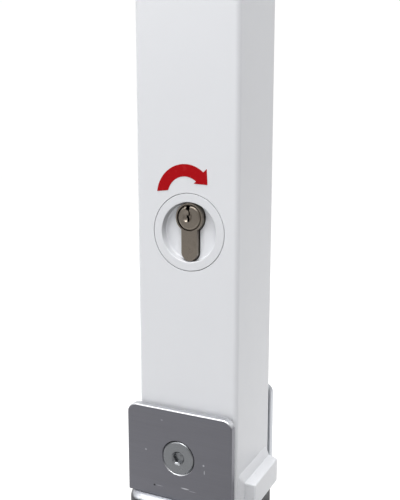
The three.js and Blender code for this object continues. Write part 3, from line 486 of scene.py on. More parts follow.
def moulded_white(name, base, inside=1.0):
    """Moulded plastic with a fine spark-eroded grain. Inside a recess its colour is painted paler by a
    factor, which is painted light, and where the factor is above 1 the recess wall also gets painted
    shade.
    """
    finish = Finish(name, base, 0.45)
    depth = finish.spread(finish.along("Y"), FACE_Y + 2 * MM, FACE_Y + 4.5 * MM)
    cloudy = finish.blend(finish.noise(12 * MM), tinted(base, 0.985), tinted(base, 1.01))
    # painted light: the recess is painted paler by the factor
    result = finish.blend(depth, cloudy, tinted(base, inside))
    if inside > 1:
        # painted shade on the recess's wall, darkest where the wall overhangs it
        shade_wall_mask = finish.spread(facing(finish, "Y"), -0.75, -0.2)
        overhang = finish.spread(facing(finish, "Z"), 0.35, -0.5, 0.15, 1.0)
        result = finish.blend(finish.maths("MULTIPLY", shade_wall_mask, overhang), result, tinted(base, 0.66))
    finish.paint(result)
    finish.roughen(2 * MM, 0.4, 0.52)
    finish.bump(finish.noise(0.35 * MM, 2), 0.01 * MM, 0.5)
    return finish.material


def turn_film(base):
    """Stuck-on film, with a matt grain and a few paler rubbed places."""
    finish = Finish("red_film", base, 0.42, specular_ior_level=0.08)
    rubbed = finish.spread(finish.noise(3 * MM, 5), 0.58, 0.75)
    finish.paint(finish.blend(rubbed, base, (base[0] * 1.15, base[1] + 0.02, base[2] + 0.02)))
    finish.roughen(1.5 * MM, 0.36, 0.5)
    finish.bump(finish.noise(0.5 * MM), 0.005 * MM, 0.5)
    return finish.material


def satin_metal(name, base, stretch=(1, 1, 1), roughness=(0.26, 0.42), grain=0.25 * MM):
    """Plated or plain metal with a satin grain and a soft mottle."""
    finish = Finish(name, base, 0.35, 1.0)
    streaks = finish.noise(grain, 4, stretch)
    mottle = finish.noise(5 * MM, 4)
    colour_mix = finish.blend(finish.spread(streaks, 0.3, 0.7), tinted(base, 0.88), tinted(base, 1.1))
    finish.paint(finish.blend(finish.spread(mottle, 0.55, 0.8), colour_mix, tinted(base, 0.85)))
    finish.paint(finish.spread(mottle, 0.3, 0.75, *roughness), "Roughness")
    finish.bump(streaks, 0.01 * MM, 0.4)
    return finish.material


# Marks on the front cheek plate: place from the hinge axis across and up, half sizes, brightness.
PLATE_MARKS = (
    ((-21.4, 1.3), (0.7, 0.6), 0.30),
    ((-15.8, -20.1), (0.75, 0.65), -0.9),
    ((-12.6, -19.9), (2.6, 0.28), 0.22),
    ((-10.5, 21.6), (0.8, 0.5), 0.18),
    ((4.6, -18.0), (2.7, 0.42), 0.60),
    ((9.4, -18.8), (2.6, 0.22), 0.25),
    ((16.5, -1.0), (0.6, 0.6), 0.5),
    ((17.0, -5.2), (0.35, 1.3), 0.4),
    ((20.5, -30.0), (1.6, 0.2), 0.25),
)


def facing(finish, axis):
    """How far the surface faces along an axis of the object, from -1 to 1."""
    parts = finish.node("ShaderNodeSeparateXYZ")
    finish.link(finish.node("ShaderNodeTexCoord").outputs["Normal"], parts.inputs["Vector"])
    return parts.outputs[axis]


def brushed_plate(name, base, bare_edge_and_highlight, all_edges, marks=()):
    """Brushed sheet: long fine lines across the plate, the nicks of use, and edges painted bright,
    partly as bare cut metal and partly as a painted highlight.
    """
    finish = Finish(name, base, 0.4, 1.0)
    lines = finish.noise(1.0, 5, (22, 60, 2600), 0.7)
    broad = finish.noise(1.0, 2, (14, 20, 260))
    brushed = finish.blend(finish.spread(lines, 0.25, 0.75), tinted(base, 0.91), tinted(base, 1.09))
    result = finish.blend(finish.spread(broad, 0.4, 0.8, 0, 0.6), brushed, tinted(base, 0.94))
    right, upward = finish.along("X"), finish.along("Z")
    for (x, z), (half_x, half_z), brightness in marks:
        across = finish.maths("MULTIPLY_ADD", right, 1 / (half_x * MM), -x / half_x)
        up = finish.maths("MULTIPLY_ADD", upward, 1 / (half_z * MM), -(HINGE.z / MM + z) / half_z)
        square = finish.maths("MULTIPLY", across, across)
        reach = finish.maths("MULTIPLY_ADD", up, up, square)
        mask = finish.spread(reach, 0.3, 1.3, abs(brightness), 0.0)
        bare = (0.85, 0.86, 0.9) if brightness > 0 else (0.02, 0.02, 0.022)
        result = finish.blend(mask, result, bare)
    # Painted highlight on the plates' edges, partly also bare cut metal: every edge on the back plate,
    # only edges that face up on the front plate, where the light falls.
    if all_edges:
        edge = finish.spread(facing(finish, "Y"), 0.95, 0.5)
    else:
        edge = finish.spread(facing(finish, "Z"), 0.25, 0.6)
    # the flat tops of the edges get a dimmer painted sheen, the chamfers the full painted highlight
    top_edge_sheen = finish.blend(finish.noise(0.8 * MM), tinted(bare_edge_and_highlight, 0.62), tinted(bare_edge_and_highlight, 0.78))
    chamfer_highlight_mask = finish.spread(facing(finish, "Z"), 0.97, 0.85)
    cut = finish.blend(chamfer_highlight_mask, top_edge_sheen, bare_edge_and_highlight)
    finish.paint(finish.blend(edge, result, cut))
    finish.paint(finish.spread(lines, 0.3, 0.7, 0.34, 0.46), "Roughness")
    finish.bump(lines, 0.006 * MM, 0.5)
    return finish.material


def worn_coat(base, bare, wear_height):
    """Dark coat on a casting, rubbed through to bright metal on top of the shoulder."""
    finish = Finish("worn_dark_coat", base, 0.45)
    ragged = finish.noise(1.6 * MM, 5)
    slope = finish.maths("MULTIPLY_ADD", ragged, 0.3, facing(finish, "Z"))
    above = finish.spread(finish.along("Z"), wear_height, wear_height + 1.0 * MM)
    corner = finish.spread(facing(finish, "X"), -0.66, -0.36)
    above = finish.maths("MULTIPLY", above, corner)
    worn = finish.maths("MULTIPLY", finish.spread(slope, 0.50, 0.78), above)
    streaks = finish.noise(1.0, 4, (160, 800, 800))
    kept = finish.spread(streaks, 0.58, 0.70, 1.0, 0.45)
    mask = finish.maths("MULTIPLY", worn, kept)
    coat = finish.blend(finish.spread(finish.noise(1.1 * MM, 4), 0.3, 0.7),
                        tinted(base, 0.8), tinted(base, 1.25))
    metal = finish.blend(finish.noise(1.2 * MM), tinted(bare, 0.85), tinted(bare, 1.12))
    finish.paint(finish.blend(mask, coat, metal))
    finish.paint(mask, "Metallic")
    finish.roughen(0.8 * MM, 0.36, 0.55)
    finish.bump(finish.noise(0.6 * MM, 4), 0.03 * MM, 0.6)
    return finish.material


def dark_moulding(name, base, roughness, grain):
    """Black plastic or rubber, with its grain and a little dust."""
    finish = Finish(name, base, roughness)
    dust = finish.spread(finish.noise(4 * MM, 5), 0.55, 0.8, 0, 0.5)
    finish.paint(finish.blend(dust, base, tinted(base, 1.9)))
    finish.roughen(1.4 * MM, roughness - 0.08, roughness + 0.1)
    finish.bump(finish.noise(grain, 3), 0.02 * MM, 0.5)
    return finish.material


finishes = {}


def prepare_finishes(scene):
    post, lock = scene.upright_post, scene.upright_lock
    hinge, foot = scene.upright_hinge, scene.upright_foot
    plate = tuple(hinge.plate)
    zinc = tuple(hinge.zinc)
    finishes.update(
        white_coat=powder_coat(tuple(post.coat)),
        white_plastic=moulded_white("moulded_white", tuple(post.plastic)),
        # the rose's recess is painted paler as painted light, with painted shade on its wall
        rose_plastic=moulded_white("moulded_rose", tuple(post.plastic), 1.16),
        red_film=turn_film(tuple(lock.film)),
        satin_nickel=satin_metal("satin_nickel", tuple(lock.nickel), grain=0.3 * MM),
        brass=satin_metal("turned_brass", (0.50, 0.36, 0.14), (1, 3, 1), (0.22, 0.34)),
        # the colour given third is painted on the plates' edges: partly bare metal, partly painted
        # highlight
        brushed_aluminium=brushed_plate("brushed_plate", plate, (0.52, 0.54, 0.57), True),
        marked_aluminium=brushed_plate("brushed_plate_marked", plate, (0.86, 0.87, 0.90), False,
                                       PLATE_MARKS),
        zinc_steel=satin_metal("zinc_steel", zinc, grain=0.5 * MM),
        dark_coat=worn_coat(tuple(foot.coat), tuple(foot.bare), foot.wear_height),
        black_plastic=dark_moulding("black_plastic", (0.016, 0.016, 0.018), 0.5, 0.5 * MM),
        black_rubber=dark_moulding("black_rubber", (0.011, 0.011, 0.012), 0.75, 0.9 * MM),
        spring_steel=satin_metal("spring_steel", (0.42, 0.43, 0.45), (1, 1, 4), (0.2, 0.3)),
    )
    for name, node in frame["nodes"].items():
        kind = node.data.materials[0].name.split(".")[0] if node.data.materials else ""
        if kind not in finishes:
            raise RuntimeError(f"no finish for the frame's node {name} ({kind or 'no material'})")
        node.data.materials[0] = finishes[kind]


# ---- stage ---------------------------------------------------------------------------------

BACKDROP = (-0.438, 0.899, 0.0)          # the way from the object to the white backdrop


CAMERA_PLACE = (0.17554, -0.36492, 0.26295)
# The soft lights: where each stands, the height it aims at above the origin, and its width.
LAMPS = {
    "key": ((-0.95, -1.15, 1.0), 0.2, 0.8),
    "overhead": ((0.09, -0.44, 1.42), 0.1, 0.9),
}


def soft_light(name, location, target, size, power):
    lamp = bpy.data.lights.new(name, "AREA")
    lamp.shape = "SQUARE"
    lamp.size = size
    lamp.energy = power
    thing = bpy.data.objects.new(name, lamp)
    thing.location = location
    aim = Vector(target) - Vector(location)
    thing.rotation_euler = aim.to_track_quat("-Z", "Y").to_euler()
    bpy.context.scene.collection.objects.link(thing)


def studio_world(scene):
    """A white backdrop behind the object that fades to a dimmer room in front of it."""
    world = bpy.data.worlds.new("studio")
    scene.world = world
    world.use_nodes = True
    tree = world.node_tree
    background = tree.nodes["Background"]
    direction = tree.nodes.new("ShaderNodeTexCoord").outputs["Generated"]
    dot = tree.nodes.new("ShaderNodeVectorMath")
    dot.operation = "DOT_PRODUCT"
    dot.inputs[1].default_value = BACKDROP
    tree.links.new(direction, dot.inputs[0])
    parts = tree.nodes.new("ShaderNodeSeparateXYZ")
    tree.links.new(direction, parts.inputs["Vector"])

    def spread(value, *numbers):
        made = tree.nodes.new("ShaderNodeMapRange")
        for socket, number in zip(("From Min", "From Max", "To Min", "To Max"), numbers):
            made.inputs[socket].default_value = number
        tree.links.new(value, made.inputs["Value"])
        return made.outputs["Result"]

    settings = scene.upright_stage
    total = tree.nodes.new("ShaderNodeMath")
    total.operation = "ADD"
    tree.links.new(spread(dot.outputs["Value"], 0.2, 0.85, settings.room, 1.02), total.inputs[0])
    tree.links.new(spread(parts.outputs["Z"], 0.75, 0.95, 0.0, settings.zenith), total.inputs[1])
    tree.links.new(total.outputs["Value"], background.inputs["Strength"])
    background.inputs["Color"].default_value = (1, 1, 1, 1)


class UPRIGHT_OT_stage(Operator):
    """Set up the floor, the soft light and the camera"""
    bl_idname = "upright.stage"
    bl_label = "Stage"

    def execute(self, context):
        scene = context.scene
        settings = scene.upright_stage
        scene.view_settings.view_transform = "Standard"
        scene.view_settings.look = "None"

        reach, corner, thickness, drop = 3.0, 0.8, 0.01, 0.02 * MM
        rim = rounded_rectangle(2 * reach, 2 * reach, corner, (0, 0), 12)
        mesh = worked(prism("z", rim, -thickness, -drop))
        floor = bpy.data.objects.new("floor", mesh)
        scene.collection.objects.link(floor)
        cloth = Finish("pale_floor", tuple(settings.floor), 0.9)
        across = cloth.maths("MULTIPLY", cloth.along("X"), BACKDROP[0])
        behind = cloth.maths("MULTIPLY_ADD", cloth.along("Y"), BACKDROP[1], across)
        cloth.paint(cloth.spread(behind, -0.10, 0.05, 0.0, settings.glow), "Emission Strength")
        cloth.bump(cloth.noise(3 * MM), 0.02 * MM, 0.3)
        mesh.materials.append(cloth.material)

        studio_world(scene)
        for name, (location, height, size) in LAMPS.items():
            soft_light(name, location, (0, 0, height), size, getattr(settings, name))

        lens = bpy.data.cameras.new("camera")
        lens.lens = settings.focal_length
        lens.sensor_width = 36
        lens.clip_start = 0.01
        camera = bpy.data.objects.new("camera", lens)
        camera.location = CAMERA_PLACE
        camera.rotation_euler = (pi / 2 - settings.tilt, 0, settings.heading)
        scene.collection.objects.link(camera)
        scene.camera = camera
        return {"FINISHED"}


class UPRIGHT_OT_finishes(Operator):
    """Make the finishes and put them on the frame's own nodes"""
    bl_idname = "upright.finishes"
    bl_label = "Finishes"

    def execute(self, context):
        prepare_finishes(context.scene)
        return {"FINISHED"}


# ---- post ----------------------------------------------------------------------------------

SMALL_SCREW = 2.5 * MM
SMALL_HEAD = 4.6 * MM
CASE_SCREWS = [(middle(name).x, middle(name).z) for name in ("case_screw_1", "case_screw_2")]
STOP_SCREWS = [middle(name).y for name in ("stop_screw_1", "stop_screw_2")]
FIXING_Z = middle("cylinder_fixing_screw").z


def sink_hole(axis, centre, face, inner):
    """A countersunk hole through a wall, open beyond both of its faces."""
    step = 1 if face > inner else -1
    mouth = SMALL_HEAD + 0.5 * MM
    bore = SMALL_SCREW + GAP
    return turned(axis, centre, [
        (0, inner - step * MM), (bore, inner - step * MM), (bore, face - step * (mouth - bore)),
        (mouth, face), (mouth, face + step * MM), (0, face + step * MM),
    ], 48)


class UPRIGHT_OT_post(Operator):
    """Build the coated tube with its holes"""
    bl_idname = "upright.post"
    bl_label = "Post tube"

    def execute(self, context):
        sizes = context.scene.upright_post
        width, depth = POST_HIGH.x - POST_LOW.x, POST_HIGH.y - POST_LOW.y
        centre = (POST.x, POST.y)
        outer = rounded_rectangle(width, depth, sizes.corner, centre, 10)
        inner = rounded_rectangle(width - 2 * POST_WALL, depth - 2 * POST_WALL, 0.8 * MM, centre, 3)
        back = POST_HIGH.y
        reach = back + PAST
        flange = 3.5 * MM
        bush = BUSH_HIGH.x - HINGE.x - flange + GAP
        rose = ROSE_HIGH.x - ROSE.x + GAP
        inner_face = back - POST_WALL
        cuts = [
            prism("z", inner, POST_LOW.z - PAST, POST_HIGH.z + PAST),
            rod("y", (ROSE.x, ROSE.z), rose, -reach, -inner_face + PAST, steps=128),
            rod("y", (HINGE.x, HINGE.z), bush, -reach, reach, steps=96),
            sink_hole("x", (BOLT.y, FIXING_Z), POST_LOW.x, POST_LOW.x + POST_WALL),
        ]
        cuts += [sink_hole("y", spot, back, inner_face) for spot in CASE_SCREWS]
        stop_z = (STOP_LOW.z + STOP_HIGH.z) / 2
        for y in STOP_SCREWS:
            cuts.append(rod("x", (y, stop_z), SMALL_SCREW + GAP, POST_HIGH.x - POST_WALL - PAST,
                            POST_HIGH.x + PAST))
        mesh = worked(prism("z", outer, POST_LOW.z, POST_HIGH.z), cuts, edge=sizes.edge)
        add_piece("post_shell", mesh, "white_coat", "post_tube")
        return {"FINISHED"}


class UPRIGHT_OT_post_ends(Operator):
    """Build the moulded cap on the post's top and the plug in its foot"""
    bl_idname = "upright.post_ends"
    bl_label = "Cap and end plug"

    def execute(self, context):
        sizes = context.scene.upright_post
        low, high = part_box("top_cap")
        lid = POST_HIGH.z + GAP
        centre = (POST.x, POST.y)
        width, depth = high.x - low.x, high.y - low.y
        slack = 2 * GAP
        skirt = (width - 2 * POST_WALL - slack, depth - 2 * POST_WALL - slack)
        wall = 2 * MM
        crown = 2.4 * MM
        camber = 0.35 * MM

        def section(across, along, corner, z):
            return level("z", rounded_rectangle(across, along, corner, centre, 8), z)

        rings = [
            section(skirt[0] - 2 * wall - MM, skirt[1] - 2 * wall - MM, 1 * MM, lid),
            section(skirt[0] - 2 * wall, skirt[1] - 2 * wall, 1 * MM, lid - 0.5 * MM),
            section(skirt[0] - 2 * wall, skirt[1] - 2 * wall, 1 * MM, low.z + 0.3 * MM),
            section(skirt[0] - 1.7 * wall, skirt[1] - 1.7 * wall, 1 * MM, low.z),
            section(skirt[0] - MM, skirt[1] - MM, 1.6 * MM, low.z),
            section(skirt[0], skirt[1], 2 * MM, low.z + 1.5 * MM),
            section(skirt[0], skirt[1], 2 * MM, lid),
            section(width - 0.3 * MM, depth - 0.3 * MM, sizes.corner, lid),
            section(width, depth, sizes.corner, lid + CAP_LIP),
        ]
        for degrees in range(0, 91, 15):
            inset = crown * (1 - cos(radians(degrees)))
            rise = high.z - lid - camber - crown * (1 - sin(radians(degrees)))
            rings.append(section(width - 2 * inset, depth - 2 * inset, sizes.corner, lid + rise))
        rings.append(section(width - 16 * MM, depth - 16 * MM, sizes.corner, high.z - 0.08 * MM))
        rings.append(section(width - 34 * MM, depth - 34 * MM, sizes.corner, high.z))
        add_piece("cap", worked(loft(rings)), "white_plastic", "top_cap")

        low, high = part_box("end_plug")
        plug_top = low.z + 6.7 * MM
        tower_radius, bolt_bore = 8 * MM, 5.4 * MM
        outline = rounded_rectangle(high.x - low.x, high.y - low.y, 1 * MM, centre, 4)
        bolt = (BOLT.x, BOLT.y)
        tower = rod("z", bolt, tower_radius, plug_top - PAST, high.z, 0.4 * MM)
        bore = rod("z", bolt, bolt_bore, low.z - PAST, high.z + PAST)
        dish_size, dish_place, dish_depth = (16.2 * MM, 20 * MM), (-16.5 * MM, 12.5 * MM), 3 * MM
        dishes = []
        for side in (-1, 1):
            spot = (dish_place[0], side * dish_place[1])
            dish = rounded_rectangle(*dish_size, 1.2 * MM, spot, 4)
            dishes.append(prism("z", dish, low.z - PAST, low.z + dish_depth))
        mesh = worked(prism("z", outline, low.z, plug_top), [bore, *dishes], [tower], edge=0.3 * MM)
        add_piece("end_insert", mesh, "black_plastic", "end_plug")
        return {"FINISHED"}


# Pinholes in the stop block's coat, in mm: x and z on its front, x and y on its top.
STOP_PITS_FRONT = ((36.5, 58.2), (36.4, 54.0), (41.6, 54.4))
STOP_PITS_TOP = ((37.4, -6.1), (39.6, 16.2))


class UPRIGHT_OT_stop(Operator):
    """Build the stop block with its painted fillet"""
    bl_idname = "upright.stop"
    bl_label = "Stop block"

    def execute(self, context):
        sizes = context.scene.upright_post
        root = POST_HIGH.x
        tip = STOP_HIGH.x
        corner = 0.9 * MM
        rise = 2.6 * MM         # how far the fillet runs out along the block
        taper = 3.6 * MM        # how far the block's back leans in at its tip
        fillet_bulge, taper_bend = 1.25, 1.6
        fillet_steps, block_steps = 10, 6
        # how far the fillet runs out on the post: front, back, below and above the block
        front, back, below, above = 3.2 * MM, 0.6 * MM, 2.6 * MM, sizes.weld

        def section(x, share, inset=0.0):
            lean = -taper * max(0, (x - root) / (tip - root)) ** taper_bend
            y = (STOP_LOW.y - front * share + inset, STOP_HIGH.y + back * share + lean - inset)
            z = (STOP_LOW.z - below * share + inset, STOP_HIGH.z + above * share - inset)
            outline = rounded_rectangle(y[1] - y[0], z[1] - z[0], corner + share * MM - inset / 2,
                                        ((y[0] + y[1]) / 2, (z[0] + z[1]) / 2), 5)
            return level("x", outline, x)

        rings = [section(root - 0.1 * MM, 1.0)]
        for step in range(fillet_steps + 1):
            along = step / fillet_steps
            rings.append(section(root + rise * along, 1 - along ** fillet_bulge))
        for step in range(1, block_steps):
            rings.append(section(root + rise + (tip - corner - root - rise) * step / block_steps, 0))
        for degrees in range(0, 91, 15):
            turn = radians(degrees)
            rings.append(section(tip - corner * (1 - sin(turn)), 0, corner * (1 - cos(turn))))
        pits = []
        pit_radius, pit_depth = (0.3 * MM, 0.28 * MM), (0.5 * MM, 0.4 * MM)
        for x, z in STOP_PITS_FRONT:
            pits.append(rod("y", (x * MM, z * MM), pit_radius[0], STOP_LOW.y - PAST,
                            STOP_LOW.y + pit_depth[0], steps=12))
        for x, y in STOP_PITS_TOP:
            pits.append(rod("z", (x * MM, y * MM), pit_radius[1], STOP_HIGH.z - pit_depth[1],
                            STOP_HIGH.z + PAST, steps=12))
        mesh = worked(loft(rings), pits)
        add_piece("stop_lug", mesh, "white_coat", "stop_block")
        return {"FINISHED"}


# ---- lock ----------------------------------------------------------------------------------

class UPRIGHT_OT_rose(Operator):
    """Build the moulded rose with its dished recess"""
    bl_idname = "upright.rose"
    bl_label = "Rose"

    def execute(self, context):
        sizes = context.scene.upright_lock
        radius = ROSE_HIGH.x - ROSE.x
        face, back = ROSE_LOW.y, ROSE_HIGH.y
        floor = face + sizes.recess_depth
        lip = 0.5 * MM
        rim = 0.35 * MM
        step = 1.0 * MM
        fillet = 1.0 * MM
        draft = 0.15 * MM
        profile = [(0, back), (radius - step, back), (radius - step, face + POST_WALL),
                   (radius, face + POST_WALL), (radius, face + rim)]
        profile += [(radius - rim + r, face + rim + a) for r, a in arc(rim, -15, -90, 4)]
        wall = sizes.recess
        profile += [(wall + lip + r, face + lip + a) for r, a in arc(lip, 270, 180, 8)]
        profile += [(wall - fillet - draft + r, floor - fillet + a) for r, a in arc(fillet, 0, 90, 6)]
        profile.append((0, floor))
        opening = prism("y", keyed_outline(0.5 * MM), face, back + PAST)
        mesh = worked(turned("y", (ROSE.x, ROSE.z), profile, 128), [opening], edge=0.18 * MM)
        add_piece("rose", mesh, "white_plastic", "lock_rose", finish="rose_plastic")
        return {"FINISHED"}


def arrow_outline():
    """A band bent clockwise over the lock, with a straight-cut tail and a barbed head."""
    centre = (ROSE.x - 2.2 * MM, ROSE.z + 20.4 * MM)
    outer, inner = 17.4 * MM, 10.6 * MM
    neck = 49                       # degrees from the right where the head begins
    tail = (173.4, 164.8)           # degrees where the band's outside and inside end
    barbs = (2.8 * MM, 1.8 * MM)    # how far the head's corners stand out of the band
    point = (2.1 * MM, 24.6)        # how far inside the band's rim and past the neck it ends

    def at(radius, degrees):
        return (centre[0] + radius * cos(radians(degrees)), centre[1] + radius * sin(radians(degrees)))

    points = arc(outer, tail[0], neck, 40, centre)
    points += [at(outer + barbs[0], neck - 1), at(outer - point[0], neck - point[1]),
               at(inner - barbs[1], neck + 1.6)]
    return points + arc(inner, neck, tail[1], 32, centre)


class UPRIGHT_OT_arrow(Operator):
    """Build the red film arrow that shows which way to turn the key"""
    bl_idname = "upright.arrow"
    bl_label = "Turn arrow"

    def execute(self, context):
        sizes = context.scene.upright_lock
        glue = 0.015 * MM
        near = FACE_Y - glue
        solid = prism("y", arrow_outline(), near - sizes.film_thickness, near)
        add_piece("arrow_film", worked(solid, edge=0.03 * MM, edge_steps=1),
                  "red_film", "turn_arrow")
        return {"FINISHED"}


BORE = 6.7 * MM
BARREL = 6.4 * MM
TAIL = 2.4 * MM
TAIL_BORE = 2.8 * MM
PLUG_HEAD = 7.15 * MM
PLUG_SEAT = 2.3 * MM        # depth of the room for the plug's head, behind the cylinder's face
PIN_HOLE = 1.6 * MM
PINION_FRONT, PINION_BACK = PINION_LOW.y - GAP, PINION_HIGH.y + GAP
PINS = [middle(f"key_pin_{i}").y for i in range(1, 6)]


class UPRIGHT_OT_cylinder(Operator):
    """Build the body of the keyed half cylinder"""
    bl_idname = "upright.cylinder"
    bl_label = "Cylinder body"

    def execute(self, context):
        sizes = context.scene.upright_lock
        front, back = BODY_LOW.y, BODY_HIGH.y
        axis = (PLUG.x, PLUG.z)
        wide = 10 * MM
        room = 14 * MM, 12 * MM             # space for the pinion, below and above its axis
        web = RACK_LOW.x - 0.5 * MM
        strip_low, strip_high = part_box("chamber_strip")
        cuts = [
            rod("y", axis, BORE, front - PAST, PINION_FRONT + PAST, steps=96),
            rod("y", axis, TAIL_BORE, PINION_FRONT + PAST, back + PAST),
            rod("y", axis, PLUG_HEAD + GAP, front - PAST, front + PLUG_SEAT, steps=96),
            bar((PLUG.x - wide, PINION_FRONT, PLUG.z - room[0]),
                (PLUG.x + wide, PINION_BACK, PLUG.z + room[1])),
            bar((web, PINION_FRONT + 0.05 * MM, BODY_LOW.z - PAST),
                (PLUG.x + wide - MM, PINION_BACK - 0.05 * MM, PLUG.z)),
            rod("x", (BOLT.y, FIXING_Z), SMALL_SCREW + GAP, PLUG.x - 8 * MM, PLUG.x + 8 * MM),
            bar((strip_low.x - GAP, strip_low.y - GAP, BODY_LOW.z - PAST),
                (strip_high.x + GAP, strip_high.y + GAP, strip_high.z + GAP)),
        ]
        for y in PINS:
            cuts.append(rod("z", (PLUG.x, y), PIN_HOLE, strip_high.z, PLUG.z - BORE + PAST, steps=24))
        chamfer = sizes.chamfer
        edges = ((front, chamfer), (front + 0.35 * chamfer, 0.3 * chamfer), (front + chamfer, 0),
                 (back, 0))
        rings = [level("y", keyed_outline(-inset, 64), y) for y, inset in edges]
        mesh = worked(loft(rings), cuts, edge=0.12 * MM)
        add_piece("cylinder_shell", mesh, "satin_nickel", "cylinder_body")
        return {"FINISHED"}


# The crooked keyway, in mm from the plug's axis: its notch, its narrow middle and its foot.
KEYWAY = (
    ((-1.6, 7.4), (-1.6, 4.7), (-1.2, 4.3), (0.3, 4.3), (0.7, 4.7), (0.7, 7.4)),
    ((-0.5, 4.6), (-0.5, 1.2), (0.35, 1.2), (0.35, 4.6)),
    ((-1.65, 1.4), (-1.65, 0.0), (-1.1, -0.6), (-1.1, -2.0), (-0.8, -2.3), (0.1, -2.3), (0.4, -2.0),
     (0.4, -0.5), (-0.2, 0.2), (-0.2, 1.4)),
)
# The plug's rounded rim, in bevels: how far inside its edge and how far behind its face.
PLUG_ROUND = ((1.3, 0), (1, 0.07), (0.55, 0.3), (0.15, 0.7), (0, 1.1))
# The dish where the key goes in, in mm: how far behind the face, half its width, half its height.
KEY_DISH = ((-0.5, 3.3, 3.9), (0.1, 2.7, 3.2), (0.7, 1.9, 2.4), (1.0, 1.1, 1.6))


def keyway(start, end):
    solids = []
    for stretch in KEYWAY:
        outline = [(PLUG.x + a * MM, PLUG.z + b * MM) for a, b in stretch]
        solids.append(prism("y", outline, start, end))
    return solids


class UPRIGHT_OT_plug(Operator):
    """Build the plug that the key turns, with its keyway and tail"""
    bl_idname = "upright.plug"
    bl_label = "Cylinder plug"

    def execute(self, context):
        front, tail_end = PLUG_LOW.y, PLUG_HIGH.y
        axis = (PLUG.x, PLUG.z)
        shoulder = PINION_FRONT - GAP
        bevel = 1.2 * MM
        soft = 0.3 * MM
        seat = BODY_LOW.y + PLUG_SEAT - GAP
        profile = [(0, front)]
        profile += [(PLUG_HEAD - inward * bevel, front + behind * bevel)
                    for inward, behind in PLUG_ROUND]
        profile += [(PLUG_HEAD, seat), (BARREL, seat), (BARREL, shoulder - soft),
                    (BARREL - soft, shoulder), (0, shoulder)]
        dish = (PLUG.x - 0.9 * MM, PLUG.z + 0.9 * MM)
        rings = []
        for behind, half_x, half_z in KEY_DISH:
            outline = rounded_rectangle(2 * half_x * MM, 2 * half_z * MM, 0.96 * half_x * MM, dish, 8)
            rings.append(level("y", outline, front + behind * MM))
        cuts = [*keyway(front - PAST, shoulder - 3 * MM), loft(rings)]
        for y in PINS:
            cuts.append(rod("z", (PLUG.x, y), PIN_HOLE, PLUG.z - BARREL - PAST, PLUG.z - PAST, steps=24))
        spindle = prism("y", hexagon(TAIL * 3 ** 0.5, axis), shoulder - PAST, tail_end)
        clip_seat = BODY_HIGH.y + GAP, BODY_HIGH.y + 1.3 * MM
        groove = ring("y", axis, TAIL + 1 * MM, TAIL - 0.6 * MM, *clip_seat, 0.05 * MM, 48)
        mesh = worked(turned("y", axis, profile, 96), [*cuts, groove], [spindle], edge=0.1 * MM)
        add_piece("plug_core", mesh, "satin_nickel", "cylinder_plug")
        return {"FINISHED"}


# ---- hinge ---------------------------------------------------------------------------------

def plate_outline(corner, inset=0.0):
    """A cheek plate seen from the front: a wide head on a narrower tongue."""
    half = PLATE_HIGH.x - inset
    tongue = TONGUE - inset
    seat = FOOT_HIGH.z + 0.1 * MM + inset / 4
    top = PLATE_HIGH.z - inset
    corner -= inset
    points = [(-tongue, PLATE_LOW.z), (tongue, PLATE_LOW.z), (tongue, seat), (half, seat)]
    points += arc(corner, 0, 90, 12, (half - corner, top - corner))
    points += arc(corner, 90, 180, 12, (corner - half, top - corner))
    return points + [(-half, seat), (-tongue, seat)]


class UPRIGHT_OT_plates(Operator):
    """Build the two brushed cheek plates"""
    bl_idname = "upright.plates"
    bl_label = "Cheek plates"

    def execute(self, context):
        sizes = context.scene.upright_hinge
        bore, rim = 5.6 * MM, 0.3 * MM
        sink = PLATE_OUTER - (sizes.sink - bore)
        chamfer = sizes.chamfer
        edges = ((PLATE_INNER, chamfer), (PLATE_INNER + chamfer, 0), (PLATE_OUTER - chamfer, 0),
                 (PLATE_OUTER, chamfer))
        for name, finish, turn in (("back", "brushed_aluminium", False),
                                   ("front", "marked_aluminium", True)):
            cuts = [turned("y", (HINGE.x, HINGE.z), [
                (0, PLATE_INNER - PAST), (bore, PLATE_INNER - PAST), (bore, sink),
                (sizes.sink, PLATE_OUTER), (sizes.sink + rim, PLATE_OUTER + rim),
                (0, PLATE_OUTER + rim)], 128)]
            for x in (-CLAMP_X, CLAMP_X):
                cuts.append(rod("y", (x, CLAMP_Z), CLAMP_BORE, PLATE_INNER - PAST, PLATE_OUTER + PAST))
            solid = loft([level("y", plate_outline(sizes.corner, inset), y) for y, inset in edges])
            if turn:
                solid = mirrored(solid)
                cuts = [mirrored(tool) for tool in cuts]
            mesh = worked(solid, cuts, edge=0.2 * MM)
            add_piece(f"cheek_{name}", mesh, "brushed_aluminium", f"{name}_cheek_plate",
                      finish=finish)
        return {"FINISHED"}


